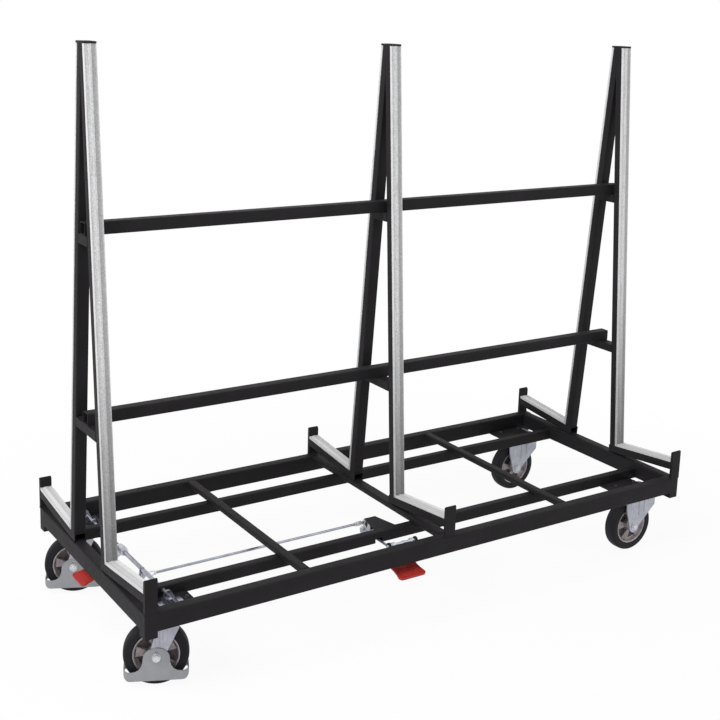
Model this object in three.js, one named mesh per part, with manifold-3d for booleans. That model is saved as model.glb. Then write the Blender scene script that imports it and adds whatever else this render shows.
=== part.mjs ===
// Sheet goods cart: a tube base on four castors carries three A-frames whose padded posts and
// toes hold boards and panels on both sides. One foot brake locks both swivel castors through a
// cross shaft, and a second pedal at the front works it through a rod and a bell crank.
// Millimetres, +Z up, +X along the cart, front at -Y. The origin is on the floor, under the middle
// of the part's box.

import * as THREE from 'three';
import { mergeVertices } from 'three/addons/utils/BufferGeometryUtils.js';
import Module from 'manifold-3d';

const wasm = await Module();
wasm.setup();

// Fits
const GAP = 0.3;
const PIN_PLAY = 0.7;
const WELD_SINK = 1.5;

// Sides of the round bars and pins, and of the bores that they turn in
const PIN_SIDES = 10;
const BORE_SIDES = 14;

// Base frame
const BASE_LENGTH = 2200;
const BASE_WIDTH = 900;
const RAIL_WIDTH = 40;
const RAIL_HEIGHT = 60;
const RAIL_WALL = 3;
const RAIL_CORNER = 5;
const POST_DROP = 18;
const INNER_RAIL_WIDTH = 30;
const INNER_RAIL_HEIGHT = 40;
const INNER_RAIL_INSET = 159;
const BAR_WIDTH = 30;
const TUBE_WALL = 2.5;
const TUBE_CORNER = 4;
const MOUNT_PLATE_LENGTH = 155;
const MOUNT_PLATE_THICK = 6;

// A-frames
const FRAME_HEIGHT = 1905;
const FRAME_WIDTH = 40;
const POST_DEPTH = 30;
const TOE_DEPTH = 30;
const FOOT_REACH = 154;
const TOP_REACH = 31;
const TOE_TILT = THREE.MathUtils.degToRad(6);
const TOE_HEEL = 4;
const STOP_INSET = 28;
const STOP_THICK = 12;
const STOP_HEIGHT = 108;
const STOP_BEVEL = 6;
const CAP_THICK = 3;
const PAD_THICK = 10;
const PAD_RELIEF = 3;
const PAD_LIP = 3;
const PAD_RIDGE = 7;
const PAD_CHANNEL_DEPTH = 1.2;
const PAD_CHANNEL_SLOPE = 2;
const LONG_RAIL = 40;
const LOWER_RAIL_Z = 734;
const UPPER_RAIL_Z = 1331;
const SPREADER_HEIGHT = 30;

// Wheels
const WHEEL_DIAMETER = 200;
const WHEEL_SEGMENTS = 24;
const TYRE_WIDTH = 50;
const TYRE_CROWN = 30;
const TYRE_SHOULDER = 6;
const RIM_RADIUS = 71;
const RIM_WIDTH = 44;
const RIM_THICK = 10;
const WEB_THICK = 10;
const HUB_RADIUS = 24;
const HUB_LENGTH = 65;
const HUB_DRAFT = 2;
const SPOKE_COUNT = 5;
const SPOKE_WIDTH = 32;
const SPOKE_HALF_ANGLE = THREE.MathUtils.degToRad(16);
const SPOKE_START = THREE.MathUtils.degToRad(172);
const AXLE_RADIUS = 8;
const AXLE_HEAD_RADIUS = 12;
const AXLE_HEAD_LENGTH = 8;

// Castors
const CASTOR_INSET = 140;
const FIXED_CASTOR_INSET = 150;
const CASTOR_SIDE_INSET = 64;
const SWIVEL_ANGLE = THREE.MathUtils.degToRad(-24);
const TRAIL = 54;
const LEG_INSIDE = 33;
const LEG_THICK = 5;
const LEG_BOSS_RADIUS = 24;
const CROWN_CLEARANCE = 6;
const CROWN_THICK = 8;
const CROWN_LENGTH = 104;
const RACE_RADIUS = 50;
const RACE_HEIGHT = 15;
const RACE_TAPER = 6;
const TOP_PLATE_LENGTH = 150;
const TOP_PLATE_WIDTH = 105;
const TOP_PLATE_THICK = 6;
const TOP_PLATE_CORNER = 12;
const FIXED_LEG_WIDTH = 146;
const FIXED_LEG_OFFSET = 29;
const FIXED_LEG_SKIRT = 56;
const SWIVEL_LEG_SKIRT = 17;
const SWIVEL_LEG_FRONT = 14;
const NECK_RADIUS = 22;

// Foot guard round the swivel castors' wheels
const GUARD_THICK = 3;
const GUARD_TOP = 31;
const GUARD_NECK = 40;
const GUARD_REACH = 98;
const GUARD_BAND_TOP = 54;
const GUARD_BOTTOM = 25;
const GUARD_BEND = 22;
const GUARD_CORNER = 16;
const GUARD_HOLE_RADIUS = 4;
const GUARD_HOLE_RISE = 20;

// Brake
const BRAKE_TURN = THREE.MathUtils.degToRad(18);
const SHAFT_RADIUS = 7;
const SHAFT_OVERHANG = 55;
const CRANK = 18;
const CRANK_THICK = 8;
const CRANK_RIM = 3;
const PIN_RADIUS = 4;
const CAM_RADIUS = 10;
const CAM_OFFSET = 12.7;
const CAM_WIDTH = 12;
const PLUNGER_HEAD_RADIUS = 16;
const PLUNGER_HEAD_THICK = 3;
const PLUNGER_RADIUS = 6;
const PLUNGER_REST_GAP = 1.5;
const BRACKET_LENGTH = 96;
const BRACKET_WIDTH = 80;
const BRACKET_THICK = 5;
const EAR_RADIUS = 14;
const ROD_RADIUS = 4.5;
const ROD_Y = -115;
const EYE_RADIUS = 10;
const BELL_ARM = 45;
const BELL_THICK = 5;
const BELL_BOSS_RADIUS = 12;
const BELL_END_RADIUS = 9;
const PIVOT_RADIUS = 6;
const PIVOT_PLATE_THICK = 4;
const PIVOT_PLATE_MARGIN = 22;
const PIVOT_HEAD_RADIUS = 10;
const PIVOT_HEAD_THICK = 3;
const LINK_X = -161;
const NOTCH_WIDTH = 30;
const NOTCH_HEIGHT = 18;

// Pedals
const PEDAL_THICK = 6;
const PEDAL_CORNER = 14;
const PEDAL_FLARE = 5;
const PEDAL_OFFSET = 4;
const PEDAL_SHAFT_RADIUS = 6;
const PEDAL_SHAFT_INSET = 16;
const PEDAL_SHAFT_SINK = 9;
const LUG_SPREAD = 53;
const LUG_THICK = 6;
const LUG_RADIUS = 12;
const LUG_DROP = 30;
const FRONT_PEDAL_WIDTH = 105;
const FRONT_PEDAL_OVERHANG = 17;
const FRONT_PEDAL_DROP = 19;
const FRONT_PEDAL_TILT = THREE.MathUtils.degToRad(14);
const FRONT_PEDAL_EAR = 36;
const FRONT_PEDAL_EAR_RADIUS = 10;
const FRONT_PEDAL_EAR_THICK = 12;
const END_PEDAL_Y = 57;
const END_PEDAL_WIDTH = 92;
const END_PEDAL_LENGTH = 72;
const END_PEDAL_OVERHANG = 16;
const END_PEDAL_DROP = 25;
const END_PEDAL_TILT = THREE.MathUtils.degToRad(16);
const END_ARM_WIDTH = 32;

// Heights that follow from the castors' build
const WHEEL_RADIUS = WHEEL_DIAMETER / 2;
const TREAD_RADIUS = WHEEL_RADIUS / Math.cos(Math.PI / WHEEL_SEGMENTS);
const CROWN_BOTTOM = WHEEL_DIAMETER + CROWN_CLEARANCE;
const RACE_BOTTOM = CROWN_BOTTOM + CROWN_THICK + GAP;
const TOP_PLATE_BOTTOM = RACE_BOTTOM + RACE_HEIGHT - GAP;
const RAIL_BOTTOM = TOP_PLATE_BOTTOM + TOP_PLATE_THICK;
const RAIL_TOP = RAIL_BOTTOM + RAIL_HEIGHT;
const MOUNT_PLATE_TOP = RAIL_BOTTOM + MOUNT_PLATE_THICK;

// Places that follow from the base
const RAIL_Y = (BASE_WIDTH - RAIL_WIDTH) / 2;
const RAIL_INSIDE_Y = BASE_WIDTH / 2 - RAIL_WIDTH;
const END_RAIL_X = (BASE_LENGTH - RAIL_WIDTH) / 2;
const END_INSIDE_X = BASE_LENGTH / 2 - RAIL_WIDTH;
const INNER_RAIL_Y = RAIL_INSIDE_Y - INNER_RAIL_INSET;
const BAR_X = END_RAIL_X / 2;
const BAR_HEIGHT = RAIL_HEIGHT - INNER_RAIL_HEIGHT;
const CASTOR_X = BASE_LENGTH / 2 - CASTOR_INSET;
const FIXED_CASTOR_X = BASE_LENGTH / 2 - FIXED_CASTOR_INSET;
const CASTOR_Y = RAIL_INSIDE_Y - CASTOR_SIDE_INSET;

// Brake linkage: rod, link and bell crank lie in one level, both shafts above it by their cranks.
// Cranks rest half their swing short of square, so their pins stay level through the stroke.
const HALF_TURN = BRAKE_TURN / 2;
const EYE_THICK = 2 * ROD_RADIUS;
const STROKE = 2 * CRANK * Math.sin(HALF_TURN);
const BELL_HALF_TURN = Math.asin(STROKE / 2 / BELL_ARM);
const BELL_REACH = BELL_ARM * Math.cos(BELL_HALF_TURN);
const BELL_BOTTOM = RAIL_BOTTOM + GAP;
const BELL_TOP = BELL_BOTTOM + BELL_THICK;
const LINK_Z = BELL_TOP + GAP + EYE_THICK / 2;
const SHAFT_Z = LINK_Z + CRANK * Math.cos(HALF_TURN);
const BELL_X = LINK_X + BELL_REACH;
const BELL_Y = ROD_Y - BELL_REACH;
const CRANK_SIDE = CRANK_THICK / 2 + PIN_PLAY + EYE_THICK / 2;
const PEDAL_X = LINK_X + PEDAL_OFFSET;
const PEDAL_SHAFT_Y = -(RAIL_INSIDE_Y - PEDAL_SHAFT_INSET);
const PEDAL_SHAFT_Z = RAIL_TOP - PEDAL_SHAFT_SINK;
const PEDAL_HALF_TURN = Math.atan(STROKE / 2 / (PEDAL_SHAFT_Z - LINK_Z));
const PEDAL_CRANK = (PEDAL_SHAFT_Z - LINK_Z) / Math.cos(PEDAL_HALF_TURN);
const PLUNGER_TOP = SHAFT_Z - CAM_RADIUS - GAP;
const PLUNGER_STROKE = CAM_OFFSET * BRAKE_TURN;
const TREAD_UNDER_NECK = WHEEL_RADIUS + Math.sqrt(TREAD_RADIUS ** 2 - (TRAIL - PLUNGER_RADIUS) ** 2);
const PLUNGER_BOTTOM = TREAD_UNDER_NECK + PLUNGER_STROKE + PLUNGER_REST_GAP;

// A-frame section, in its own plane: REACH is the distance from the middle plane. The post's pad
// and the toe's pad meet in one corner, from which both are laid out.
const POST_TOP = FRAME_HEIGHT - CAP_THICK;
const TOE_INNER = -(PAD_THICK + POST_DEPTH + TOE_HEEL);
const CORNER_Z = RAIL_TOP + GAP - TOE_INNER * Math.sin(TOE_TILT)
  + (PAD_THICK + TOE_DEPTH) * Math.cos(TOE_TILT);
const LEAN = Math.atan((FOOT_REACH - TOP_REACH) / (POST_TOP - CORNER_Z));
const STOP_REACH = RAIL_INSIDE_Y + STOP_INSET;
const STOP_TOP = RAIL_TOP + STOP_HEIGHT;

// Looks
const BLACK_COAT = { color: 0x2c2b2c, roughness: 0.62, metalness: 0.25 };
const PAD_GREY = { color: 0xb9babc, roughness: 0.8, metalness: 0.05 };
const ZINC = { color: 0xb8bac4, roughness: 0.38, metalness: 0.85 };
const GUARD_GREY = { color: 0x97989c, roughness: 0.5, metalness: 0.4 };
const TYRE_BLACK = { color: 0x24232a, roughness: 0.85, metalness: 0 };
const RIM_GREY = { color: 0x8c807d, roughness: 0.45, metalness: 0.7 };
const PEDAL_RED = { color: 0xb5342e, roughness: 0.45, metalness: 0.05 };

const AXIS_BASIS = {
  x: new THREE.Matrix4().makeBasis(vec(0, 1, 0), vec(0, 0, 1), vec(1, 0, 0)),
  y: new THREE.Matrix4().makeBasis(vec(0, 0, 1), vec(1, 0, 0), vec(0, 1, 0)),
  z: new THREE.Matrix4(),
};

function vec(x, y, z) {
  return new THREE.Vector3(x, y, z);
}

// Closed solids and their joins and cuts

function solidOf(geometry) {
  const bare = geometry.clone();
  bare.deleteAttribute('normal');
  bare.deleteAttribute('uv');
  const welded = mergeVertices(bare);
  return new wasm.Manifold(new wasm.Mesh({
    numProp: 3,
    vertProperties: new Float32Array(welded.attributes.position.array),
    triVerts: new Uint32Array(welded.index.array),
  }));
}

function geometryOf(solid) {
  const { vertProperties, triVerts } = solid.getMesh();
  const geometry = new THREE.BufferGeometry();
  geometry.setAttribute('position', new THREE.BufferAttribute(vertProperties, 3));
  geometry.setIndex(new THREE.BufferAttribute(triVerts, 1));
  geometry.computeVertexNormals();
  return geometry;
}

function shaped({ add, cut = [] }) {
  let solid = add.map(solidOf).reduce((whole, piece) => whole.add(piece));
  for (const tool of cut) {
    solid = solid.subtract(solidOf(tool));
  }
  return geometryOf(solid);
}

function mesh(name, geometry, look) {
  const piece = new THREE.Mesh(geometry, new THREE.MeshStandardMaterial(look));
  piece.name = name;
  return piece;
}

// Profiles and basic forms

function roundedRect(width, height, radius) {
  const x = width / 2;
  const y = height / 2;
  const shape = new THREE.Shape();
  shape.moveTo(-x + radius, -y);
  shape.lineTo(x - radius, -y);
  shape.absarc(x - radius, -y + radius, radius, -Math.PI / 2, 0);
  shape.lineTo(x, y - radius);
  shape.absarc(x - radius, y - radius, radius, 0, Math.PI / 2);
  shape.lineTo(-x + radius, y);
  shape.absarc(-x + radius, y - radius, radius, Math.PI / 2, Math.PI);
  shape.lineTo(-x, -y + radius);
  shape.absarc(-x + radius, -y + radius, radius, Math.PI, 1.5 * Math.PI);
  return shape;
}

function extrude(shape, depth, curveSegments = 1) {
  return new THREE.ExtrudeGeometry(shape, { depth, curveSegments, bevelEnabled: false });
}

// A profile in the plane square to an axis, extruded along it and centred on it.
function extrudeAlong(axis, shape, depth, curveSegments) {
  return extrude(shape, depth, curveSegments).translate(0, 0, -depth / 2).applyMatrix4(AXIS_BASIS[axis]);
}

// A bar with rounded long edges, centred on the origin; size is given along x, y and z.
function bar(axis, size, radius, curveSegments) {
  const [width, height, depth] = { x: [1, 2, 0], y: [2, 0, 1], z: [0, 1, 2] }[axis].map((i) => size[i]);
  return extrudeAlong(axis, roundedRect(width, height, radius), depth, curveSegments);
}

function box(low, high) {
  const size = high.map((value, i) => value - low[i]);
  const middle = high.map((value, i) => (value + low[i]) / 2);
  return new THREE.BoxGeometry(...size).translate(...middle);
}

function rod(axis, radius, length, sides = PIN_SIDES) {
  const cylinder = new THREE.CylinderGeometry(radius, radius, length, sides);
  if (axis === 'x') {
    cylinder.rotateZ(-Math.PI / 2);
  }
  if (axis === 'z') {
    cylinder.rotateX(Math.PI / 2);
  }
  return cylinder;
}

function tube(axis, size, wall, radius) {
  const along = 'xyz'.indexOf(axis);
  const bore = size.map((value, i) => (i === along ? value + 2 * wall : value - 2 * wall));
  return shaped({ add: [bar(axis, size, radius)], cut: [bar(axis, bore, Math.max(radius - wall, GAP))] });
}

// Base frame

function sideRail() {
  const length = 2 * END_INSIDE_X;
  return tube('x', [length, RAIL_WIDTH, RAIL_HEIGHT], RAIL_WALL, RAIL_CORNER);
}

// The front rail carries two lugs on its inner side that rise to the pedal's shaft.
function frontRail() {
  const root = -PEDAL_SHAFT_INSET - WELD_SINK;
  const profile = new THREE.Shape();
  profile.moveTo(root, -LUG_DROP);
  profile.lineTo(LUG_RADIUS, -LUG_RADIUS / 2);
  profile.lineTo(LUG_RADIUS, 0);
  profile.absarc(0, 0, LUG_RADIUS, 0, Math.PI);
  profile.lineTo(root, -LUG_RADIUS / 2);
  const y = RAIL_WIDTH / 2 + PEDAL_SHAFT_INSET;
  const z = PEDAL_SHAFT_Z - RAIL_BOTTOM - RAIL_HEIGHT / 2;
  const lugs = [-1, 1].map((side) => extrudeAlong('x', profile, LUG_THICK, 5)
    .translate(PEDAL_X + side * LUG_SPREAD, y, z));
  const bore = rod('x', PEDAL_SHAFT_RADIUS + GAP, BASE_LENGTH, BORE_SIDES).translate(0, y, z);
  return shaped({ add: [sideRail(), ...lugs], cut: [bore] });
}

// A corner post: square where the rails meet it, rounded on its outer corner at -X and +Y.
function cornerPost(height) {
  const half = RAIL_WIDTH / 2;
  const profile = new THREE.Shape();
  profile.moveTo(-half, -half);
  profile.lineTo(half, -half);
  profile.lineTo(half, half);
  profile.lineTo(-half + RAIL_CORNER, half);
  profile.absarc(-half + RAIL_CORNER, half - RAIL_CORNER, RAIL_CORNER, Math.PI / 2, Math.PI);
  return extrudeAlong('z', profile, height, 3);
}

// The left end rail, welded between two corner posts that reach below it, open at their feet.
function endRail() {
  const postHeight = RAIL_HEIGHT + POST_DROP;
  const span = 2 * RAIL_INSIDE_Y;
  const rail = bar('y', [RAIL_WIDTH, span + 2 * RAIL_CORNER, RAIL_HEIGHT], RAIL_CORNER);
  const bore = RAIL_WIDTH - 2 * RAIL_WALL;
  const railBore = box(
    [-bore / 2, -RAIL_Y, -RAIL_HEIGHT / 2 + RAIL_WALL],
    [bore / 2, RAIL_Y, RAIL_HEIGHT / 2 - RAIL_WALL],
  );
  const posts = [[-1, Math.PI / 2], [1, 0]].map(([side, turn]) => cornerPost(postHeight)
    .rotateZ(turn)
    .translate(0, side * RAIL_Y, -POST_DROP / 2));
  const postBores = [-1, 1].map((side) => box(
    [-bore / 2, side * RAIL_Y - bore / 2, -postHeight],
    [bore / 2, side * RAIL_Y + bore / 2, RAIL_HEIGHT / 2 - RAIL_WALL],
  ));
  return shaped({ add: [rail, ...posts], cut: [railBore, ...postBores] });
}

function mountPlate(x) {
  const outside = RAIL_INSIDE_Y - INNER_RAIL_Y;
  const inside = INNER_RAIL_WIDTH / 2 - WELD_SINK;
  const bottom = -INNER_RAIL_HEIGHT / 2;
  return box(
    [x - MOUNT_PLATE_LENGTH / 2, inside, bottom],
    [x + MOUNT_PLATE_LENGTH / 2, outside, bottom + MOUNT_PLATE_THICK],
  );
}

// The bracket plate inside the front inner rail carries the bell crank's pivot, a pin that hangs
// from it with a sleeve above the crank and a head below. Seen from above in the rail's own frame,
// turned about so that its outer side is at +Y.
function pivotPlate() {
  const x = -BELL_X;
  const y = -BELL_Y - INNER_RAIL_Y;
  const root = -INNER_RAIL_WIDTH / 2 + WELD_SINK;
  const tip = y - PIVOT_PLATE_MARGIN;
  const profile = new THREE.Shape();
  profile.moveTo(x - 2 * PIVOT_PLATE_MARGIN, root);
  profile.lineTo(x - PIVOT_PLATE_MARGIN, tip);
  profile.lineTo(x + PIVOT_PLATE_MARGIN, tip);
  profile.lineTo(x + 2 * PIVOT_PLATE_MARGIN, root);
  const top = INNER_RAIL_HEIGHT / 2 - TUBE_CORNER;
  const level = RAIL_BOTTOM + INNER_RAIL_HEIGHT / 2;
  const plate = extrude(profile, PIVOT_PLATE_THICK).translate(0, 0, top - PIVOT_PLATE_THICK);
  const sleeveBottom = BELL_TOP + GAP - level;
  const headTop = BELL_BOTTOM - GAP - level;
  const round = (radius, low, high) => rod('z', radius, high - low).translate(x, y, (low + high) / 2);
  const pin = round(PIVOT_RADIUS, headTop - PIVOT_HEAD_THICK, top);
  const sleeve = round(PIVOT_HEAD_RADIUS, sleeveBottom, top - PIVOT_PLATE_THICK / 2);
  const head = round(PIVOT_HEAD_RADIUS, headTop - PIVOT_HEAD_THICK, headTop);
  return shaped({ add: [plate, pin, sleeve, head] });
}

// An inner rail with its castor mounting plates on the +Y side. Each swivel castor's neck passes a
// plate, and the brake shaft passes the rail.
function innerRail(swivelX, fixedX) {
  const size = [2 * END_INSIDE_X, INNER_RAIL_WIDTH, INNER_RAIL_HEIGHT];
  const rail = tube('x', size, TUBE_WALL, TUBE_CORNER);
  const neckHole = rod('z', NECK_RADIUS + GAP, INNER_RAIL_HEIGHT, BORE_SIDES)
    .translate(swivelX, CASTOR_Y - INNER_RAIL_Y, -INNER_RAIL_HEIGHT / 2);
  const shaftHole = rod('y', SHAFT_RADIUS + PIN_PLAY, 2 * INNER_RAIL_WIDTH)
    .translate(swivelX, 0, SHAFT_Z - RAIL_BOTTOM - INNER_RAIL_HEIGHT / 2);
  return shaped({
    add: [rail, mountPlate(swivelX), mountPlate(fixedX)],
    cut: [neckHole, shaftHole],
  });
}

function frontInnerRail() {
  const notch = box(
    [-LINK_X - NOTCH_WIDTH / 2, -INNER_RAIL_WIDTH, -INNER_RAIL_HEIGHT],
    [-LINK_X + NOTCH_WIDTH / 2, INNER_RAIL_WIDTH, -INNER_RAIL_HEIGHT / 2 + NOTCH_HEIGHT],
  );
  const rail = shaped({ add: [innerRail(CASTOR_X, -FIXED_CASTOR_X)], cut: [notch] });
  return shaped({ add: [rail, pivotPlate()] });
}

function crossBar(width) {
  return tube('y', [width, 2 * RAIL_INSIDE_Y, BAR_HEIGHT], TUBE_WALL, TUBE_CORNER);
}

function baseFrame() {
  const base = new THREE.Group();
  const add = (name, geometry, x, y, z) => {
    const piece = mesh(name, geometry, BLACK_COAT);
    piece.position.set(x, y, z);
    base.add(piece);
    return piece;
  };
  const railZ = RAIL_BOTTOM + RAIL_HEIGHT / 2;
  const innerZ = RAIL_BOTTOM + INNER_RAIL_HEIGHT / 2;
  const barZ = RAIL_TOP - BAR_HEIGHT / 2;
  add('front_rail', frontRail(), 0, -RAIL_Y, railZ);
  add('rear_rail', sideRail(), 0, RAIL_Y, railZ);
  add('left_end_rail', endRail(), -END_RAIL_X, 0, railZ);
  add('right_end_rail', endRail(), END_RAIL_X, 0, railZ).rotation.z = Math.PI;
  add('front_inner_rail', frontInnerRail(), 0, -INNER_RAIL_Y, innerZ).rotation.z = Math.PI;
  add('rear_inner_rail', innerRail(-CASTOR_X, FIXED_CASTOR_X), 0, INNER_RAIL_Y, innerZ);
  add('left_cross_bar', crossBar(BAR_WIDTH), -BAR_X, 0, barZ);
  add('centre_cross_bar', crossBar(FRAME_WIDTH), 0, 0, barZ);
  add('right_cross_bar', crossBar(BAR_WIDTH), BAR_X, 0, barZ);
  return base;
}

// A-frames, laid out for the rear side (+Y) and turned about for the front

const POST_PLACE = new THREE.Matrix4().makeRotationX(LEAN).setPosition(0, FOOT_REACH, CORNER_Z);
const TOE_PLACE = new THREE.Matrix4().makeRotationX(TOE_TILT).setPosition(0, FOOT_REACH, CORNER_Z);

function postInsideReach(z) {
  return FOOT_REACH - (PAD_THICK + POST_DEPTH) / Math.cos(LEAN) - (z - CORNER_Z) * Math.tan(LEAN);
}

// Everything above the post's top, and everything past the middle plane.
function postTrims(top) {
  const far = FRAME_HEIGHT;
  return [
    box([-far, -far, top], [far, far, 2 * far]),
    box([-far, -far, -far], [far, GAP / 2, 2 * far]),
  ];
}

function stopBar() {
  const profile = new THREE.Shape();
  profile.moveTo(STOP_REACH, RAIL_TOP);
  profile.lineTo(STOP_REACH + STOP_THICK, RAIL_TOP);
  profile.lineTo(STOP_REACH + STOP_THICK, STOP_TOP - STOP_BEVEL / 2);
  profile.lineTo(STOP_REACH + STOP_THICK - STOP_BEVEL / 2, STOP_TOP);
  profile.lineTo(STOP_REACH + STOP_BEVEL, STOP_TOP);
  profile.lineTo(STOP_REACH, STOP_TOP - STOP_BEVEL);
  return extrudeAlong('x', profile, FRAME_WIDTH);
}

// Post, toe and stop are one weldment. The post's bore opens at the top, the toe's at its heel.
function upright() {
  const half = FRAME_WIDTH / 2;
  const postMiddle = -PAD_THICK - POST_DEPTH / 2;
  const toeMiddle = -PAD_THICK - TOE_DEPTH / 2;
  const toeEnd = (STOP_REACH - FOOT_REACH) / Math.cos(TOE_TILT);
  const toeSpan = toeEnd + STOP_THICK / 2 - TOE_INNER;
  const post = bar('z', [FRAME_WIDTH, POST_DEPTH, FRAME_HEIGHT], TUBE_CORNER)
    .translate(0, postMiddle, FRAME_HEIGHT / 2 - PAD_THICK - TOE_DEPTH / 2)
    .applyMatrix4(POST_PLACE);
  const toe = bar('y', [FRAME_WIDTH, toeSpan, TOE_DEPTH], TUBE_CORNER)
    .translate(0, TOE_INNER + toeSpan / 2, toeMiddle)
    .applyMatrix4(TOE_PLACE);
  const postBore = box(
    [-half + TUBE_WALL, -PAD_THICK - POST_DEPTH + TUBE_WALL, -PAD_THICK],
    [half - TUBE_WALL, -PAD_THICK - TUBE_WALL, FRAME_HEIGHT],
  ).applyMatrix4(POST_PLACE);
  const toeBore = box(
    [-half + TUBE_WALL, TOE_INNER - half, -PAD_THICK - TOE_DEPTH + TUBE_WALL],
    [half - TUBE_WALL, toeEnd - STOP_THICK, -PAD_THICK - TUBE_WALL],
  ).applyMatrix4(TOE_PLACE);
  return shaped({ add: [post, toe, stopBar()], cut: [...postTrims(POST_TOP), postBore, toeBore] });
}

// The pad's section: two shallow channels between its lips and a flat ridge down the middle.
function padProfile() {
  const half = FRAME_WIDTH / 2;
  const back = -PAD_THICK + GAP;
  const lip = half - PAD_LIP;
  const ridge = PAD_RIDGE / 2;
  const face = [
    [half, 0],
    [lip, 0],
    [lip - PAD_CHANNEL_SLOPE, -PAD_CHANNEL_DEPTH],
    [ridge + PAD_CHANNEL_SLOPE, -PAD_CHANNEL_DEPTH],
    [ridge, 0],
  ];
  const profile = new THREE.Shape();
  profile.moveTo(-half, back);
  profile.lineTo(half, back);
  for (const [x, z] of face) {
    profile.lineTo(x, z);
  }
  for (const [x, z] of face.reverse()) {
    profile.lineTo(-x, z);
  }
  return profile;
}

// A ribbed strip that runs down the post and out along the toe, relieved where its faces meet.
function pad() {
  const overlap = PAD_THICK / 2;
  const toeEnd = (STOP_REACH - GAP - FOOT_REACH) / Math.cos(TOE_TILT) - PAD_THICK * Math.tan(TOE_TILT);
  const onPost = extrude(padProfile(), FRAME_HEIGHT)
    .translate(0, 0, -overlap)
    .applyMatrix4(POST_PLACE);
  const onToe = extrude(padProfile(), toeEnd + overlap)
    .rotateX(Math.PI / 2)
    .translate(0, toeEnd, 0)
    .applyMatrix4(TOE_PLACE);
  const relief = rod('x', PAD_RELIEF, 2 * FRAME_WIDTH).translate(0, FOOT_REACH, CORNER_Z);
  return shaped({ add: [onPost, onToe], cut: [...postTrims(POST_TOP - GAP), relief] });
}

function spreader(top) {
  const bottom = top - SPREADER_HEIGHT;
  const low = postInsideReach(bottom) - GAP;
  const high = postInsideReach(top) - GAP;
  const profile = new THREE.Shape();
  profile.moveTo(-low, bottom);
  profile.lineTo(low, bottom);
  profile.lineTo(high, top);
  profile.lineTo(-high, top);
  const half = FRAME_WIDTH / 2 - TUBE_WALL;
  const bore = box([-half, -2 * low, bottom + TUBE_WALL], [half, 2 * low, top - TUBE_WALL]);
  return shaped({ add: [extrudeAlong('x', profile, FRAME_WIDTH)], cut: [bore] });
}

function aFrame(side, x) {
  const frame = new THREE.Group();
  frame.position.x = x;
  for (const [face, turn] of [['front', Math.PI], ['rear', 0]]) {
    const half = new THREE.Group();
    half.rotation.z = turn;
    half.add(mesh(`${side}_${face}_upright`, upright(), BLACK_COAT));
    half.add(mesh(`${side}_${face}_pad`, pad(), PAD_GREY));
    frame.add(half);
  }
  frame.add(mesh(`${side}_lower_spreader`, spreader(LOWER_RAIL_Z), BLACK_COAT));
  frame.add(mesh(`${side}_upper_spreader`, spreader(UPPER_RAIL_Z), BLACK_COAT));
  const cap = new THREE.BoxGeometry(FRAME_WIDTH, 2 * TOP_REACH, CAP_THICK);
  cap.translate(0, 0, POST_TOP + CAP_THICK / 2);
  frame.add(mesh(`${side}_cap`, cap, BLACK_COAT));
  return frame;
}

function longRail(name, bottom) {
  const rail = mesh(name, tube('x', [BASE_LENGTH, LONG_RAIL, LONG_RAIL], TUBE_WALL, TUBE_CORNER), BLACK_COAT);
  rail.position.z = bottom + LONG_RAIL / 2;
  return rail;
}

// Castors: the wheel turns about its local Y axis

function revolve(points) {
  const profile = points.map(([radius, y]) => new THREE.Vector2(radius, y));
  profile.push(profile[0].clone());
  return new THREE.LatheGeometry(profile, WHEEL_SEGMENTS, Math.PI / WHEEL_SEGMENTS);
}

// A ring's outline from one half of it, listed from the bore outwards on the +Y side.
function mirrored(half) {
  const lower = half.map(([radius, y]) => [radius, -y]);
  return [...lower, ...half.reverse()];
}

function tyre() {
  const seat = RIM_RADIUS + GAP;
  const side = TYRE_WIDTH / 2;
  const shoulder = TREAD_RADIUS - TYRE_SHOULDER;
  const profile = mirrored([
    [seat, RIM_WIDTH / 2],
    [(seat + shoulder) / 2, side],
    [shoulder, side],
    [TREAD_RADIUS, TYRE_CROWN / 2],
  ]);
  return shaped({ add: [revolve(profile)] });
}

function rim() {
  const hub = HUB_LENGTH / 2;
  const web = WEB_THICK / 2;
  const lip = RIM_WIDTH / 2;
  const inner = RIM_RADIUS - RIM_THICK;
  const profile = mirrored([
    [AXLE_RADIUS + GAP, hub],
    [HUB_RADIUS - HUB_DRAFT, hub],
    [HUB_RADIUS, web],
    [inner - HUB_DRAFT, web],
    [inner, lip],
    [RIM_RADIUS, lip],
  ]);
  const spokes = [];
  for (let i = 0; i < SPOKE_COUNT; i += 1) {
    const angle = SPOKE_START + (i * 2 * Math.PI) / SPOKE_COUNT;
    spokes.push(spoke(angle, HUB_RADIUS - HUB_DRAFT, inner + RIM_THICK / 2));
  }
  return shaped({ add: [revolve(profile), ...spokes] });
}

function spoke(angle, near, far) {
  const wedge = new THREE.Shape();
  wedge.absarc(0, 0, far, angle - SPOKE_HALF_ANGLE, angle + SPOKE_HALF_ANGLE);
  wedge.absarc(0, 0, near, angle + SPOKE_HALF_ANGLE, angle - SPOKE_HALF_ANGLE, true);
  return extrudeXZ(wedge, SPOKE_WIDTH, 1);
}

function axle(outside) {
  const shank = rod('y', AXLE_RADIUS, 2 * (outside + GAP + AXLE_HEAD_LENGTH / 2));
  const heads = [-1, 1].map((side) => rod('y', AXLE_HEAD_RADIUS, AXLE_HEAD_LENGTH, 6)
    .translate(0, side * (outside + GAP + AXLE_HEAD_LENGTH / 2), 0));
  return shaped({ add: [shank, ...heads] });
}

function wheel(name, outside) {
  return [
    mesh(`${name}_tyre`, tyre(), TYRE_BLACK),
    mesh(`${name}_rim`, rim(), RIM_GREY),
    mesh(`${name}_axle`, axle(outside), ZINC),
  ];
}

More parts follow.
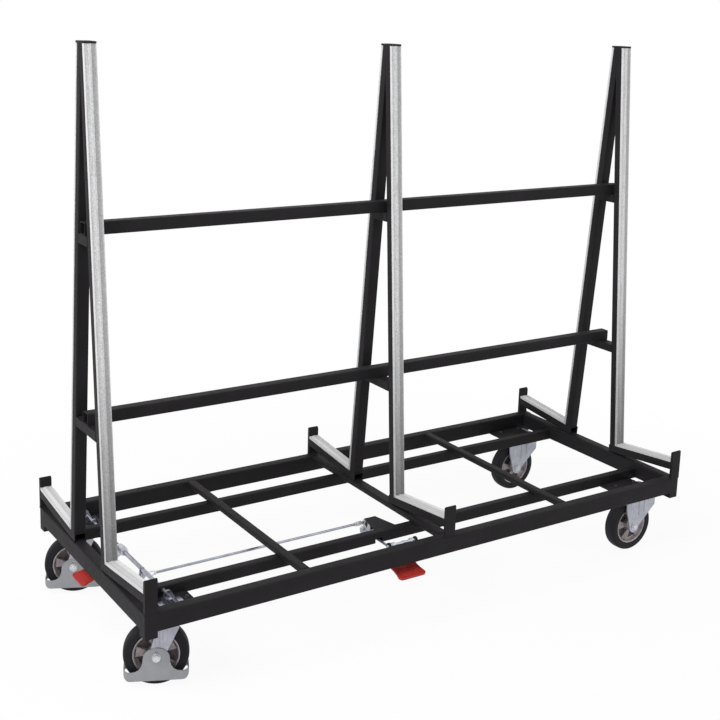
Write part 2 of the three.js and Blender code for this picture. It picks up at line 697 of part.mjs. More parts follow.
// One fork leg seen from the side: straight at the top, drawn in to a round boss at the axle.
function legProfile(rear, front, top, skirtBottom, axleX) {
  const profile = new THREE.Shape();
  profile.moveTo(rear, top);
  profile.lineTo(rear, skirtBottom);
  profile.lineTo(axleX - LEG_BOSS_RADIUS, WHEEL_RADIUS);
  profile.absarc(axleX, WHEEL_RADIUS, LEG_BOSS_RADIUS, Math.PI, 2 * Math.PI);
  profile.lineTo(front, skirtBottom);
  profile.lineTo(front, top);
  return profile;
}

function forkLegs(profile) {
  return [-1, 1].map((side) => extrudeXZ(profile, LEG_THICK, 5)
    .translate(0, side * (LEG_INSIDE + LEG_THICK / 2), 0));
}

// A profile drawn in x and z, extruded along y and centred on it.
function extrudeXZ(shape, depth, curveSegments) {
  return extrude(shape, depth, curveSegments).translate(0, 0, -depth / 2).rotateX(Math.PI / 2);
}

function axleHole(x) {
  return rod('y', AXLE_RADIUS + GAP, 4 * LEG_INSIDE, BORE_SIDES).translate(x, 0, WHEEL_RADIUS);
}

function swivelFork() {
  const outside = 2 * (LEG_INSIDE + LEG_THICK);
  const crown = bar('z', [CROWN_LENGTH, outside, CROWN_THICK], TOP_PLATE_CORNER)
    .translate(0, 0, CROWN_BOTTOM + CROWN_THICK / 2);
  const neckBore = rod('z', PLUNGER_RADIUS + PIN_PLAY, 4 * CROWN_THICK, BORE_SIDES)
    .translate(0, 0, CROWN_BOTTOM);
  const top = CROWN_BOTTOM + CROWN_THICK / 2;
  const profile = legProfile(-CROWN_LENGTH / 2, SWIVEL_LEG_FRONT, top, top - SWIVEL_LEG_SKIRT, -TRAIL);
  return shaped({ add: [crown, ...forkLegs(profile)], cut: [neckBore, axleHole(-TRAIL)] });
}

function topPlate(x) {
  return bar('z', [TOP_PLATE_LENGTH, TOP_PLATE_WIDTH, TOP_PLATE_THICK], TOP_PLATE_CORNER)
    .translate(x, 0, TOP_PLATE_BOTTOM + TOP_PLATE_THICK / 2);
}

function fixedFork() {
  const half = FIXED_LEG_WIDTH / 2;
  const top = TOP_PLATE_BOTTOM + WELD_SINK;
  const rear = FIXED_LEG_OFFSET - half;
  const front = FIXED_LEG_OFFSET + half;
  const profile = legProfile(rear, front, top, TOP_PLATE_BOTTOM - FIXED_LEG_SKIRT, 0);
  return shaped({ add: [topPlate(FIXED_LEG_OFFSET), ...forkLegs(profile)], cut: [axleHole(0)] });
}

// The head stays with the cart: top plate and bearing below the mounting plate, a neck through it
// and a bracket with two ears above it that carries the brake shaft. The plunger runs in the neck.
function castorHead() {
  const race = new THREE.CylinderGeometry(RACE_RADIUS, RACE_RADIUS - RACE_TAPER, RACE_HEIGHT, WHEEL_SEGMENTS)
    .rotateX(Math.PI / 2)
    .translate(0, 0, RACE_BOTTOM + RACE_HEIGHT / 2);
  const neckLength = MOUNT_PLATE_THICK + 2 * WELD_SINK;
  const neck = rod('z', NECK_RADIUS, neckLength, BORE_SIDES)
    .translate(0, 0, RAIL_BOTTOM + MOUNT_PLATE_THICK / 2);
  const base = bar('z', [BRACKET_WIDTH, BRACKET_LENGTH, BRACKET_THICK], BRACKET_THICK)
    .translate(0, 0, MOUNT_PLATE_TOP + BRACKET_THICK / 2);
  const profile = new THREE.Shape();
  profile.moveTo(-BRACKET_WIDTH / 2 + EAR_RADIUS, MOUNT_PLATE_TOP + WELD_SINK);
  profile.lineTo(BRACKET_WIDTH / 2 - EAR_RADIUS, MOUNT_PLATE_TOP + WELD_SINK);
  profile.lineTo(EAR_RADIUS, SHAFT_Z);
  profile.absarc(0, SHAFT_Z, EAR_RADIUS, 0, Math.PI);
  const ears = [-1, 1].map((side) => extrudeXZ(profile, BRACKET_THICK, 4)
    .translate(0, side * (BRACKET_LENGTH - BRACKET_THICK) / 2, 0));
  const shaftHole = rod('y', SHAFT_RADIUS + GAP, 2 * BRACKET_LENGTH, BORE_SIDES)
    .translate(0, 0, SHAFT_Z);
  const bore = rod('z', PLUNGER_RADIUS + GAP, SHAFT_Z, BORE_SIDES).translate(0, 0, SHAFT_Z / 2);
  const recessBottom = PLUNGER_TOP - PLUNGER_HEAD_THICK - PLUNGER_STROKE - GAP;
  const recess = rod('z', PLUNGER_HEAD_RADIUS + GAP, SHAFT_Z - recessBottom, BORE_SIDES)
    .translate(0, 0, (SHAFT_Z + recessBottom) / 2);
  return shaped({ add: [race, topPlate(0), neck, base, ...ears], cut: [shaftHole, bore, recess] });
}

// The guard stands round the wheel close to the floor: two bell-shaped sides on the axle and a
// band that joins them before and behind the tyre, rounded at its lower corners.
function guard() {
  const inside = LEG_INSIDE + LEG_THICK + GAP;
  const outside = inside + GUARD_THICK;
  const corner = GUARD_REACH - GUARD_BEND;
  const bell = new THREE.Shape();
  bell.moveTo(-corner, GUARD_BOTTOM);
  bell.lineTo(corner, GUARD_BOTTOM);
  bell.lineTo(corner, GUARD_BAND_TOP);
  bell.quadraticCurveTo(GUARD_NECK, GUARD_BAND_TOP, GUARD_NECK, WHEEL_RADIUS);
  bell.absellipse(0, WHEEL_RADIUS, GUARD_NECK, GUARD_TOP, 0, Math.PI);
  bell.quadraticCurveTo(-GUARD_NECK, GUARD_BAND_TOP, -corner, GUARD_BAND_TOP);
  const sides = [-1, 1].map((side) => extrudeXZ(bell, GUARD_THICK, 5)
    .translate(0, side * (inside + outside) / 2, 0));
  const height = GUARD_BAND_TOP - GUARD_BOTTOM;
  const band = bar('z', [2 * GUARD_REACH, 2 * outside, height], GUARD_BEND, 2);
  const hollow = bar(
    'z',
    [2 * (GUARD_REACH - GUARD_THICK), 2 * inside, 2 * height],
    GUARD_BEND - GUARD_THICK,
    2,
  );
  const ring = shaped({ add: [band], cut: [hollow] })
    .translate(0, 0, GUARD_BOTTOM + height / 2);
  const boltHole = rod('y', AXLE_RADIUS + GAP, 4 * outside, BORE_SIDES).translate(0, 0, WHEEL_RADIUS);
  const sightHole = rod('y', GUARD_HOLE_RADIUS, 4 * outside)
    .translate(0, 0, WHEEL_RADIUS + GUARD_HOLE_RISE);
  return shaped({ add: [ring, ...sides], cut: [boltHole, sightHole, ...guardCorners(outside)] });
}

// What is cut off the band's lower corners, seen from the side.
function guardCorners(outside) {
  return [-1, 1].map((end) => {
    const square = box([0, -2 * outside, -2 * GUARD_CORNER], [2 * GUARD_CORNER, 2 * outside, 0]);
    const round = rod('y', GUARD_CORNER, 8 * outside, WHEEL_SEGMENTS);
    return shaped({ add: [square], cut: [round] })
      .rotateZ(end > 0 ? 0 : Math.PI)
      .translate(end * (GUARD_REACH - GUARD_CORNER), 0, GUARD_BOTTOM + GUARD_CORNER);
  });
}

function swivelCastor(name, y) {
  const castor = new THREE.Group();
  castor.position.set(-CASTOR_X, y, 0);
  castor.add(mesh(`${name}_head`, castorHead(), ZINC));
  const turning = new THREE.Group();
  turning.rotation.z = SWIVEL_ANGLE;
  turning.add(mesh(`${name}_fork`, swivelFork(), ZINC));
  const cover = mesh(`${name}_guard`, guard(), GUARD_GREY);
  cover.position.x = -TRAIL;
  turning.add(cover);
  const outside = LEG_INSIDE + LEG_THICK + GAP + GUARD_THICK;
  for (const piece of wheel(name, outside)) {
    piece.position.set(-TRAIL, 0, WHEEL_RADIUS);
    turning.add(piece);
  }
  castor.add(turning);
  return castor;
}

function fixedCastor(name, y) {
  const castor = new THREE.Group();
  castor.position.set(FIXED_CASTOR_X, y, 0);
  castor.add(mesh(`${name}_fork`, fixedFork(), ZINC));
  for (const piece of wheel(name, LEG_INSIDE + LEG_THICK)) {
    piece.position.z = WHEEL_RADIUS;
    castor.add(piece);
  }
  return castor;
}

// Brake

// A crank that hangs from a shaft along X: an arm with a pin at its lower end. It is built round
// the shaft's axis; turn is its angle from straight down.
function crankArm(length, turn, pinSide) {
  const width = 2 * (PIN_RADIUS + CRANK_RIM);
  const arm = bar('x', [CRANK_THICK, width, length + width], width / 3).translate(0, 0, -length / 2);
  const reach = CRANK_SIDE + EYE_THICK / 2 + PIN_PLAY;
  const pin = rod('x', PIN_RADIUS, reach).translate((pinSide * reach) / 2, 0, -length);
  return [arm.rotateX(turn), pin.rotateX(turn)];
}

function brakeShaft() {
  const shaft = rod('y', SHAFT_RADIUS, 2 * (CASTOR_Y + SHAFT_OVERHANG), 6);
  const cams = [-1, 1].map((side) => rod('y', CAM_RADIUS, CAM_WIDTH, BORE_SIDES)
    .translate(-CAM_OFFSET, side * CASTOR_Y, 0));
  const crank = crankArm(CRANK, HALF_TURN, -1)
    .map((piece) => piece.rotateZ(Math.PI / 2).translate(0, ROD_Y + CRANK_SIDE, 0));
  return shaped({ add: [shaft, ...cams, ...crank] });
}

// A round bar along X with an eye at each end: the first is bored along Y, the second along Z.
function eyedRod(length) {
  const hole = PIN_RADIUS + PIN_PLAY;
  const shank = rod('x', ROD_RADIUS, length - EYE_RADIUS).translate(length / 2, 0, 0);
  const eyes = [rod('y', EYE_RADIUS, EYE_THICK), rod('z', EYE_RADIUS, EYE_THICK).translate(length, 0, 0)];
  const holes = [rod('y', hole, 2 * EYE_THICK), rod('z', hole, 2 * EYE_THICK).translate(length, 0, 0)];
  return shaped({ add: [shank, ...eyes], cut: holes });
}

// A flat angle lever with its pivot at the origin; the rod's pin is on its +Y arm, the link's on
// its -X arm, and both stand up from it.
function bellCrank() {
  const profile = new THREE.Shape();
  profile.moveTo(-BELL_ARM, BELL_END_RADIUS);
  profile.absarc(-BELL_ARM, 0, BELL_END_RADIUS, Math.PI / 2, 1.5 * Math.PI);
  profile.lineTo(0, -BELL_BOSS_RADIUS);
  profile.absarc(0, 0, BELL_BOSS_RADIUS, -Math.PI / 2, 0);
  profile.lineTo(BELL_END_RADIUS, BELL_ARM);
  profile.absarc(0, BELL_ARM, BELL_END_RADIUS, 0, Math.PI);
  profile.quadraticCurveTo(-BELL_END_RADIUS, BELL_END_RADIUS, -BELL_ARM, BELL_END_RADIUS);
  const plate = extrude(profile, BELL_THICK, 4);
  const pinLength = BELL_THICK + GAP + EYE_THICK + PIN_PLAY;
  const pins = [[-BELL_ARM, 0], [0, BELL_ARM]]
    .map(([x, y]) => rod('z', PIN_RADIUS, pinLength).translate(x, y, pinLength / 2));
  const pivotHole = rod('z', PIVOT_RADIUS + GAP, 4 * BELL_THICK, BORE_SIDES);
  return shaped({ add: [plate, ...pins], cut: [pivotHole] }).rotateZ(BELL_HALF_TURN);
}

// A foot plate in the XY plane from its root at the origin to a rounded tip at +Y, with drawn-in sides.
function pedalPlate(width, length) {
  const side = width / 2;
  const waist = side - 2 * PEDAL_FLARE;
  const shoulder = length - PEDAL_CORNER;
  const profile = new THREE.Shape();
  profile.moveTo(-side, 0);
  profile.lineTo(side, 0);
  profile.quadraticCurveTo(waist, shoulder / 2, side, shoulder);
  profile.quadraticCurveTo(side, length, side - PEDAL_CORNER, length);
  profile.lineTo(-side + PEDAL_CORNER, length);
  profile.quadraticCurveTo(-side, length, -side, shoulder);
  profile.quadraticCurveTo(-waist, shoulder / 2, -side, 0);
  return extrude(profile, PEDAL_THICK, 4).translate(0, 0, -PEDAL_THICK / 2);
}

// The front pedal hangs from its shaft behind the front rail and reaches out below it.
function frontPedal() {
  const drop = PEDAL_SHAFT_Z - RAIL_BOTTOM + FRONT_PEDAL_DROP;
  const reach = PEDAL_SHAFT_INSET + RAIL_WIDTH + FRONT_PEDAL_OVERHANG + FRONT_PEDAL_EAR_RADIUS;
  const plate = pedalPlate(FRONT_PEDAL_WIDTH, reach / Math.cos(FRONT_PEDAL_TILT))
    .rotateZ(Math.PI)
    .rotateX(FRONT_PEDAL_TILT)
    .translate(0, FRONT_PEDAL_EAR_RADIUS, -drop);
  const profile = new THREE.Shape();
  profile.moveTo(-FRONT_PEDAL_EAR_RADIUS, -drop);
  profile.lineTo(FRONT_PEDAL_EAR_RADIUS, -drop);
  profile.lineTo(FRONT_PEDAL_EAR_RADIUS, 0);
  profile.absarc(0, 0, FRONT_PEDAL_EAR_RADIUS, 0, Math.PI);
  const ears = [-1, 1].map((side) => extrudeAlong('x', profile, FRONT_PEDAL_EAR_THICK, 3)
    .translate(side * FRONT_PEDAL_EAR, 0, 0));
  const shaft = rod('x', PEDAL_SHAFT_RADIUS, 2 * (LUG_SPREAD + LUG_THICK));
  const crank = crankArm(PEDAL_CRANK, -PEDAL_HALF_TURN, -1)
    .map((piece) => piece.translate(CRANK_SIDE - PEDAL_OFFSET, 0, 0));
  return shaped({ add: [plate, ...ears, shaft, ...crank] });
}

// The end pedal is clamped on the brake shaft's flats and reaches out below the left end rail.
function endPedal() {
  const tipX = BASE_LENGTH / 2 + END_PEDAL_OVERHANG - CASTOR_X;
  const rootX = tipX - END_PEDAL_LENGTH * Math.cos(END_PEDAL_TILT);
  const drop = SHAFT_Z - RAIL_BOTTOM + END_PEDAL_DROP;
  const plate = pedalPlate(END_PEDAL_WIDTH, END_PEDAL_LENGTH)
    .rotateZ(Math.PI / 2)
    .rotateY(-END_PEDAL_TILT)
    .translate(-rootX, 0, -drop);
  const armLength = Math.hypot(rootX, drop) + PEDAL_THICK;
  const arm = box([-armLength, -END_ARM_WIDTH / 2, -PEDAL_THICK / 2], [0, END_ARM_WIDTH / 2, PEDAL_THICK / 2])
    .rotateY(-Math.atan2(drop, rootX));
  const hub = rod('y', EAR_RADIUS, END_ARM_WIDTH, BORE_SIDES);
  const flats = rod('y', SHAFT_RADIUS + GAP, 2 * END_ARM_WIDTH, 6);
  return shaped({ add: [plate, arm, hub], cut: [flats] });
}

function plunger() {
  const head = rod('z', PLUNGER_HEAD_RADIUS, PLUNGER_HEAD_THICK, BORE_SIDES)
    .translate(0, 0, PLUNGER_TOP - PLUNGER_HEAD_THICK / 2);
  const length = PLUNGER_TOP - PLUNGER_HEAD_THICK / 2 - PLUNGER_BOTTOM;
  const stem = rod('z', PLUNGER_RADIUS, length).translate(0, 0, PLUNGER_BOTTOM + length / 2);
  return shaped({ add: [head, stem] });
}

function brake() {
  const group = new THREE.Group();
  const add = (name, geometry, look, x, y, z) => {
    const piece = mesh(name, geometry, look);
    piece.position.set(x, y, z);
    group.add(piece);
    return piece;
  };
  add('brake_shaft', brakeShaft(), ZINC, -CASTOR_X, 0, SHAFT_Z);
  add('end_pedal', endPedal(), PEDAL_RED, -CASTOR_X, END_PEDAL_Y, SHAFT_Z);
  add('push_rod', eyedRod(BELL_X + CASTOR_X), ZINC, -CASTOR_X - STROKE / 2, ROD_Y, LINK_Z);
  add('bell_crank', bellCrank(), ZINC, BELL_X, BELL_Y, BELL_BOTTOM);
  const link = eyedRod(BELL_Y - PEDAL_SHAFT_Y);
  add('pedal_link', link, ZINC, LINK_X, PEDAL_SHAFT_Y - STROKE / 2, LINK_Z).rotation.z = Math.PI / 2;
  add('front_pedal', frontPedal(), PEDAL_RED, PEDAL_X, PEDAL_SHAFT_Y, PEDAL_SHAFT_Z);
  add('front_plunger', plunger(), ZINC, -CASTOR_X, -CASTOR_Y, 0);
  add('rear_plunger', plunger(), ZINC, -CASTOR_X, CASTOR_Y, 0);
  return group;
}

const cart = new THREE.Group();
cart.add(baseFrame());
cart.add(aFrame('left', -END_RAIL_X), aFrame('centre', 0), aFrame('right', END_RAIL_X));
cart.add(longRail('lower_long_rail', LOWER_RAIL_Z), longRail('upper_long_rail', UPPER_RAIL_Z));
cart.add(swivelCastor('front_left_castor', -CASTOR_Y), swivelCastor('rear_left_castor', CASTOR_Y));
cart.add(fixedCastor('front_right_castor', -CASTOR_Y), fixedCastor('rear_right_castor', CASTOR_Y));
cart.add(brake());

const bounds = new THREE.Box3().setFromObject(cart, true);
const middle = bounds.getCenter(new THREE.Vector3());
cart.position.set(-middle.x, -middle.y, -bounds.min.z);

export default cart;
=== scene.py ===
"""Looks of the sheet goods cart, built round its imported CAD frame.

Sizes are in mm and become metres through MM and at(). The floor and the lamps are placed in metres.
"""

import math
import random

import bmesh
import bpy
from mathutils import Matrix, Vector


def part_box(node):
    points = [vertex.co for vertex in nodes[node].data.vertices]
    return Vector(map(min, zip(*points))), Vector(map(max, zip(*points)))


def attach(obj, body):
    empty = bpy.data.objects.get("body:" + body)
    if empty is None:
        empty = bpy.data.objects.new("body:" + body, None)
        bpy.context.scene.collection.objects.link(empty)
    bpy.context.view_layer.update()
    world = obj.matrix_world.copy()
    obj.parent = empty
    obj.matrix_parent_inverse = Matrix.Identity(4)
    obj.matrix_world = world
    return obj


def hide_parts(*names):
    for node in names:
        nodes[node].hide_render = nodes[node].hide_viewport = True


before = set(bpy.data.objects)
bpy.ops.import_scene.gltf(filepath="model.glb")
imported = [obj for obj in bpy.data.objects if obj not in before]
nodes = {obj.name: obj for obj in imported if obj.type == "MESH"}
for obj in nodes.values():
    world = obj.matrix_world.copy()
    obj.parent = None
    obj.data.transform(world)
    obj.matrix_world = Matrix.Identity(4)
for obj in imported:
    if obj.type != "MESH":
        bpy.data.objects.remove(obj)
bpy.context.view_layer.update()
random.seed(7)

MM = 0.001
SIDES = ("left", "centre", "right")
FACES = (("front", -1), ("rear", 1))

# Sizes of the CAD source that the pieces here follow
RAIL_TOP = 295
RAIL_BOTTOM = 235
RAIL_INSIDE_Y = 410
END_RAIL_INSIDE_X = 1060
MOUNT_PLATE_TOP = 241
TOP_PLATE_BOTTOM = 229
INNER_RAIL_Y = 251
INNER_RAIL_HALF = 15
INNER_RAIL_TOP = 275
CROSS_BARS = ((-540, 30), (0, 40), (540, 30))
FRAME_X = {"left": -1080, "centre": 0, "right": 1080}
FRAME_WIDTH = 40
POST_TOP = 1902
CAP_REACH = 31
CAP_TOP = 1905
PAD_THICK = 10
FOOT_REACH = 154
TOE_HEEL = 115
TOE_JOINT = 36
CORNER_Z = 339.68
LEAN = math.radians(4.5016)
TOE_TILT = math.radians(6)
STOP_REACH = 438
STOP_THICK = 12
LONG_RAIL_BOTTOMS = (734, 1331)
CASTOR_Y = 346
SWIVEL_X = -960
FIXED_X = 950
SWIVEL_ANGLE = math.radians(-24)
SWIVEL_CASTORS = (("front_left", -CASTOR_Y), ("rear_left", CASTOR_Y))
FIXED_CASTORS = (("front_right", -CASTOR_Y), ("rear_right", CASTOR_Y))
SWIVEL_AXLE_REACH = 41.4
FIXED_AXLE_REACH = 38.1
AXLE_HEAD = 8.4
LEG_OUTSIDE = 38
BRAKE_SHAFT_Z = 262.88
LINK_Z = 245.1
BELL = (-116.09, -159.91)
BELL_ARM = 45
BELL_TURN = math.radians(3.588)
BELL_PIN_TOP = 250.3
PUSH_ROD_ENDS = (-962.8, -118.9)
PUSH_ROD_Y = -115
FRONT_TILT = math.radians(14)
FRONT_PEDAL_ROOT = (-157, -384, 216)
FRONT_PEDAL_SIZE = (105, 83 / math.cos(FRONT_TILT))
FRONT_PEDAL_SPLIT_Z = RAIL_BOTTOM - 2
END_TILT = math.radians(16)
END_PEDAL_Y = 57
END_PEDAL_ROOT = (-1046.8, END_PEDAL_Y, 210)
END_PEDAL_SIZE = (92, 72)
END_PEDAL_SPLIT_X = -1034
PEDAL_CORNER = 14
PEDAL_WAIST = 10
PEDAL_THICK = 6

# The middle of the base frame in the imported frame
_low, _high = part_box("centre_cross_bar")
ORIGIN = (_low + _high) / 2


def at(x, y, z):
    """A point given in mm from the middle of the base frame and the floor."""
    return Vector((ORIGIN.x + x * MM, ORIGIN.y + y * MM, z * MM))


# Materials


def srgb(code):
    """A colour written as six hex digits, in linear values."""
    values = [int(code[i:i + 2], 16) / 255 for i in (0, 2, 4)]
    return tuple(v / 12.92 if v <= 0.04045 else ((v + 0.055) / 1.055) ** 2.4 for v in values) + (1.0,)


class Look:
    """A procedural material: a principled shader with textures in the part's own coordinates."""

    def __init__(self, name, **sockets):
        self.material = bpy.data.materials.new(name)
        self.material.use_nodes = True
        self.tree = self.material.node_tree
        self.shader = self.tree.nodes["Principled BSDF"]
        self.place = self.tree.nodes.new("ShaderNodeTexCoord").outputs["Object"]
        for socket, value in sockets.items():
            self.shader.inputs[socket.replace("_", " ")].default_value = value

    def put(self, socket, value):
        """Links a value that is an output, and sets any other."""
        if isinstance(value, bpy.types.NodeSocket):
            self.tree.links.new(value, socket)
        else:
            socket.default_value = value

    def node(self, kind, links=(), **values):
        node = self.tree.nodes.new(kind)
        for socket, value in values.items():
            node.inputs[socket].default_value = value
        for socket, output in links:
            self.tree.links.new(output, node.inputs[socket])
        return node

    def stretched(self, scale):
        return self.node("ShaderNodeMapping", [("Vector", self.place)], Scale=scale).outputs["Vector"]

    def parts(self):
        return self.node("ShaderNodeSeparateXYZ", [("Vector", self.place)]).outputs

    def noise(self, scale, detail=3.0, roughness=0.55, stretch=None):
        place = self.stretched(stretch) if stretch else self.place
        values = {"Scale": scale, "Detail": detail, "Roughness": roughness}
        return self.node("ShaderNodeTexNoise", [("Vector", place)], **values).outputs["Fac"]

    def cells(self, scale):
        return self.node("ShaderNodeTexVoronoi", [("Vector", self.place)], Scale=scale).outputs["Color"]

    def math(self, operation, *values):
        node = self.tree.nodes.new("ShaderNodeMath")
        node.operation = operation
        for socket, value in zip(node.inputs, values):
            self.put(socket, value)
        return node.outputs["Value"]

    def ramp(self, factor, *stops):
        """A colour for each value of factor, from stops of (place, hex colour)."""
        node = self.node("ShaderNodeValToRGB", [("Fac", factor)])
        points = node.color_ramp.elements
        while len(points) < len(stops):
            points.new(0.5)
        for point, (place, code) in zip(points, stops):
            point.position = place
            point.color = srgb(code)
        return node.outputs["Color"]

    def mix(self, factor, a, b, blend="MIX"):
        node = self.tree.nodes.new("ShaderNodeMix")
        node.data_type = "RGBA"
        node.blend_type = blend
        for name, value in (("Factor_Float", factor), ("A_Color", a), ("B_Color", b)):
            self.put(next(s for s in node.inputs if s.identifier == name), value)
        return next(s for s in node.outputs if s.identifier == "Result_Color")

    def ranged(self, factor, low, high, start=0.3, end=0.7):
        """Runs from low to high while factor goes from start to end."""
        values = {"From Min": start, "From Max": end, "To Min": low, "To Max": high}
        return self.node("ShaderNodeMapRange", [("Value", factor)], **values).outputs["Result"]

    def bump(self, height, strength, distance):
        links = [("Height", height)]
        return self.node("ShaderNodeBump", links, Strength=strength, Distance=distance).outputs["Normal"]

    def set(self, **sockets):
        for socket, output in sockets.items():
            self.tree.links.new(output, self.shader.inputs[socket.replace("_", " ")])
        return self.material


def black_coat():
    look = Look("black_powder_coat", Metallic=0.0, Specular_IOR_Level=0.1)
    mottle = look.noise(7.0, detail=4.0)
    dust = look.noise(55.0, detail=5.0, roughness=0.7)
    grain = look.noise(1500.0, detail=2.0)
    colour = look.ramp(mottle, (0.3, "1f1d1f"), (0.55, "232123"), (0.75, "272428"))
    colour = look.mix(look.ranged(dust, 0.0, 0.1, 0.56, 0.8), colour, srgb("423e45"))
    roughness = look.ranged(dust, 0.5, 0.66)
    normal = look.bump(grain, strength=0.35, distance=0.0004)
    return look.set(Base_Color=colour, Roughness=roughness, Normal=normal)


# Where the pads' posts end and their toes begin, and the heights in metres where the painted shade down the
# posts is most and nil
TOE_BLEND = (FOOT_REACH * MM, (FOOT_REACH + 9) * MM)
TOE_SHARE = 0.65
POST_SHADE_HEIGHTS = (0.36, 1.0)
POST_SHADE_TONE = "9a9a9b"
STREAK_TONE = "949495"


def pad_grey(name, tones, worn, shade_and_streak, toe_tone):
    """Light grey moulded strip, darkened down the posts by painted shade, with another tone along the toes.
    """
    look = Look(name, Metallic=0.0, Specular_IOR_Level=0.35)
    mottle = look.noise(30.0, detail=4.0, roughness=0.6, stretch=(1.0, 1.0, 0.2))
    speckle = look.noise(240.0, detail=3.0, roughness=0.65)
    streak = look.noise(260.0, detail=3.0, roughness=0.6, stretch=(1.0, 0.05, 0.05))
    spot = look.parts()
    reach = look.math("ABSOLUTE", look.math("SUBTRACT", spot["Y"], at(0, 0, 0).y))
    post = look.ranged(reach, 1.0, 0.0, *TOE_BLEND)
    toe = look.ranged(reach, 0.0, TOE_SHARE, *TOE_BLEND)
    dark, middle, light = tones
    colour = look.ramp(speckle, (0.35, dark), (0.5, middle), (0.65, light))
    colour = look.mix(look.ranged(mottle, 0.0, 0.35, 0.42, 0.7), colour, srgb(worn))
    colour = look.mix(look.ranged(streak, 0.0, shade_and_streak * 0.5, 0.5, 0.75), colour, srgb(STREAK_TONE))
    # Painted shade: the posts darken towards the bottom, fully below 0.36 m and not at all above 1 m
    post_shade = look.math("MULTIPLY", look.ranged(spot["Z"], shade_and_streak, 0.0, *POST_SHADE_HEIGHTS), post)
    colour = look.mix(post_shade, colour, srgb(POST_SHADE_TONE), "MULTIPLY")
    colour = look.mix(toe, colour, srgb(toe_tone))
    roughness = look.ranged(mottle, 0.45, 0.7)
    normal = look.bump(speckle, strength=0.3, distance=0.0004)
    return look.set(Base_Color=colour, Roughness=roughness, Normal=normal)


def zinc(name, light, dark, metallic=0.4, sheen=(0.24, 0.38)):
    look = Look(name, Metallic=metallic)
    spangle = look.cells(300.0)
    cloud = look.noise(24.0)
    scratch = look.noise(240.0, roughness=0.6, stretch=(1.0, 1.0, 0.08))
    colour = look.ramp(cloud, (0.3, dark), (0.7, light))
    colour = look.mix(0.05, colour, spangle, "OVERLAY")
    roughness = look.ranged(scratch, *sheen)
    normal = look.bump(scratch, strength=0.08, distance=0.0003)
    return look.set(Base_Color=colour, Roughness=roughness, Normal=normal)


def guard_grey():
    look = Look("guard_grey", Metallic=0.35, Specular_IOR_Level=0.4)
    cloud = look.noise(30.0, detail=4.0)
    grain = look.noise(900.0, detail=2.0)
    colour = look.ramp(cloud, (0.3, "929397"), (0.7, "9d9ea2"))
    roughness = look.ranged(cloud, 0.42, 0.56)
    normal = look.bump(grain, strength=0.18, distance=0.0003)
    return look.set(Base_Color=colour, Roughness=roughness, Normal=normal)


def tyre_black():
    look = Look("tyre_rubber", Metallic=0.0, Specular_IOR_Level=0.2)
    dust = look.noise(40.0, detail=5.0, roughness=0.7)
    grain = look.noise(1100.0)
    colour = look.ramp(dust, (0.35, "151418"), (0.7, "1f1e23"))
    roughness = look.ranged(dust, 0.55, 0.78)
    normal = look.bump(grain, strength=0.3, distance=0.0004)
    return look.set(Base_Color=colour, Roughness=roughness, Normal=normal)


def rim_cast(name, light, dark, metallic):
    look = Look(name, Metallic=metallic)
    cloud = look.noise(70.0, detail=4.0)
    grain = look.noise(1300.0, detail=2.0)
    colour = look.ramp(cloud, (0.35, dark), (0.65, light))
    roughness = look.ranged(cloud, 0.28, 0.42)
    normal = look.bump(grain, strength=0.2, distance=0.0003)
    return look.set(Base_Color=colour, Roughness=roughness, Normal=normal)


def pedal_red(axis, split):
    """Red coat on the foot plate; past the split, in metres along the axis, bare arm and shaft."""
    look = Look(f"pedal_red_{axis}_{split:.2f}", Specular_IOR_Level=0.3)
    cloud = look.noise(40.0, detail=4.0)
    grain = look.noise(800.0, detail=2.0)
    red = look.ramp(cloud, (0.3, "a42b27"), (0.7, "b2332c"))
    metal = look.ramp(cloud, (0.3, "bbbdc7"), (0.7, "cbcdd6"))
    bare = look.math("GREATER_THAN", look.parts()[axis], split)
    colour = look.mix(bare, red, metal)
    roughness = look.ranged(cloud, 0.36, 0.5)
    normal = look.bump(grain, strength=0.15, distance=0.0003)
    return look.set(Base_Color=colour, Metallic=bare, Roughness=roughness, Normal=normal)


BLACK = black_coat()
PAD = pad_grey("moulded_pad", ("bebebf", "d7d7d8", "ececed"), "cbcbcc", 0.95, "bfbfc0")
# Painted highlight: a lighter tone on the pad's sides and rounded edges, also less darkened down the posts
PAD_HIGHLIGHT_EDGE = pad_grey("moulded_pad_highlight_edge", ("c9c9ca", "d6d6d7", "e2e2e3"), "cdcdce", 0.5, "c6c6c7")
# Painted shade: a darker tone in one of the two channels, the right one seen from the pad's face; on the
# toes it gives way to a near-white tone
PAD_SHADED_CHANNEL = pad_grey("moulded_pad_shaded_channel", ("959596", "aaaaab", "bfbfc0"), "a0a0a1", 0.75, "f0f0f1")
ZINC = zinc("bright_zinc", "bcbec9", "a3a5b0")
POLISHED = zinc("polished_zinc", "acaeba", "8e909b", 0.85, (0.12, 0.22))
BRIGHT = zinc("bright_fastener", "e6e7ea", "b9bbc0")
GUARD = guard_grey()
TYRE = tyre_black()
RIM = rim_cast("rim_cast", "968d90", "7c7376", 0.5)
# Painted shade: the web between the spokes is much darker than the spokes and less metallic
RIM_SHADED_POCKET = rim_cast("rim_shaded_pocket", "524a4a", "3d3636", 0.2)
RIM_LIP = rim_cast("rim_lip", "b9b5b4", "9f9a98", 0.6)
DARK_BOLT = zinc("dark_fastener", "4a4a4e", "38383b")
FRONT_RED = pedal_red("Z", FRONT_PEDAL_SPLIT_Z * MM)
END_RED = pedal_red("X", at(END_PEDAL_SPLIT_X, 0, 0).x)


# CAD nodes that stay: their materials, and smooth shading over the tubes' corners

WELD_DISTANCE = 1e-6
SHARP_TURN = math.radians(50)


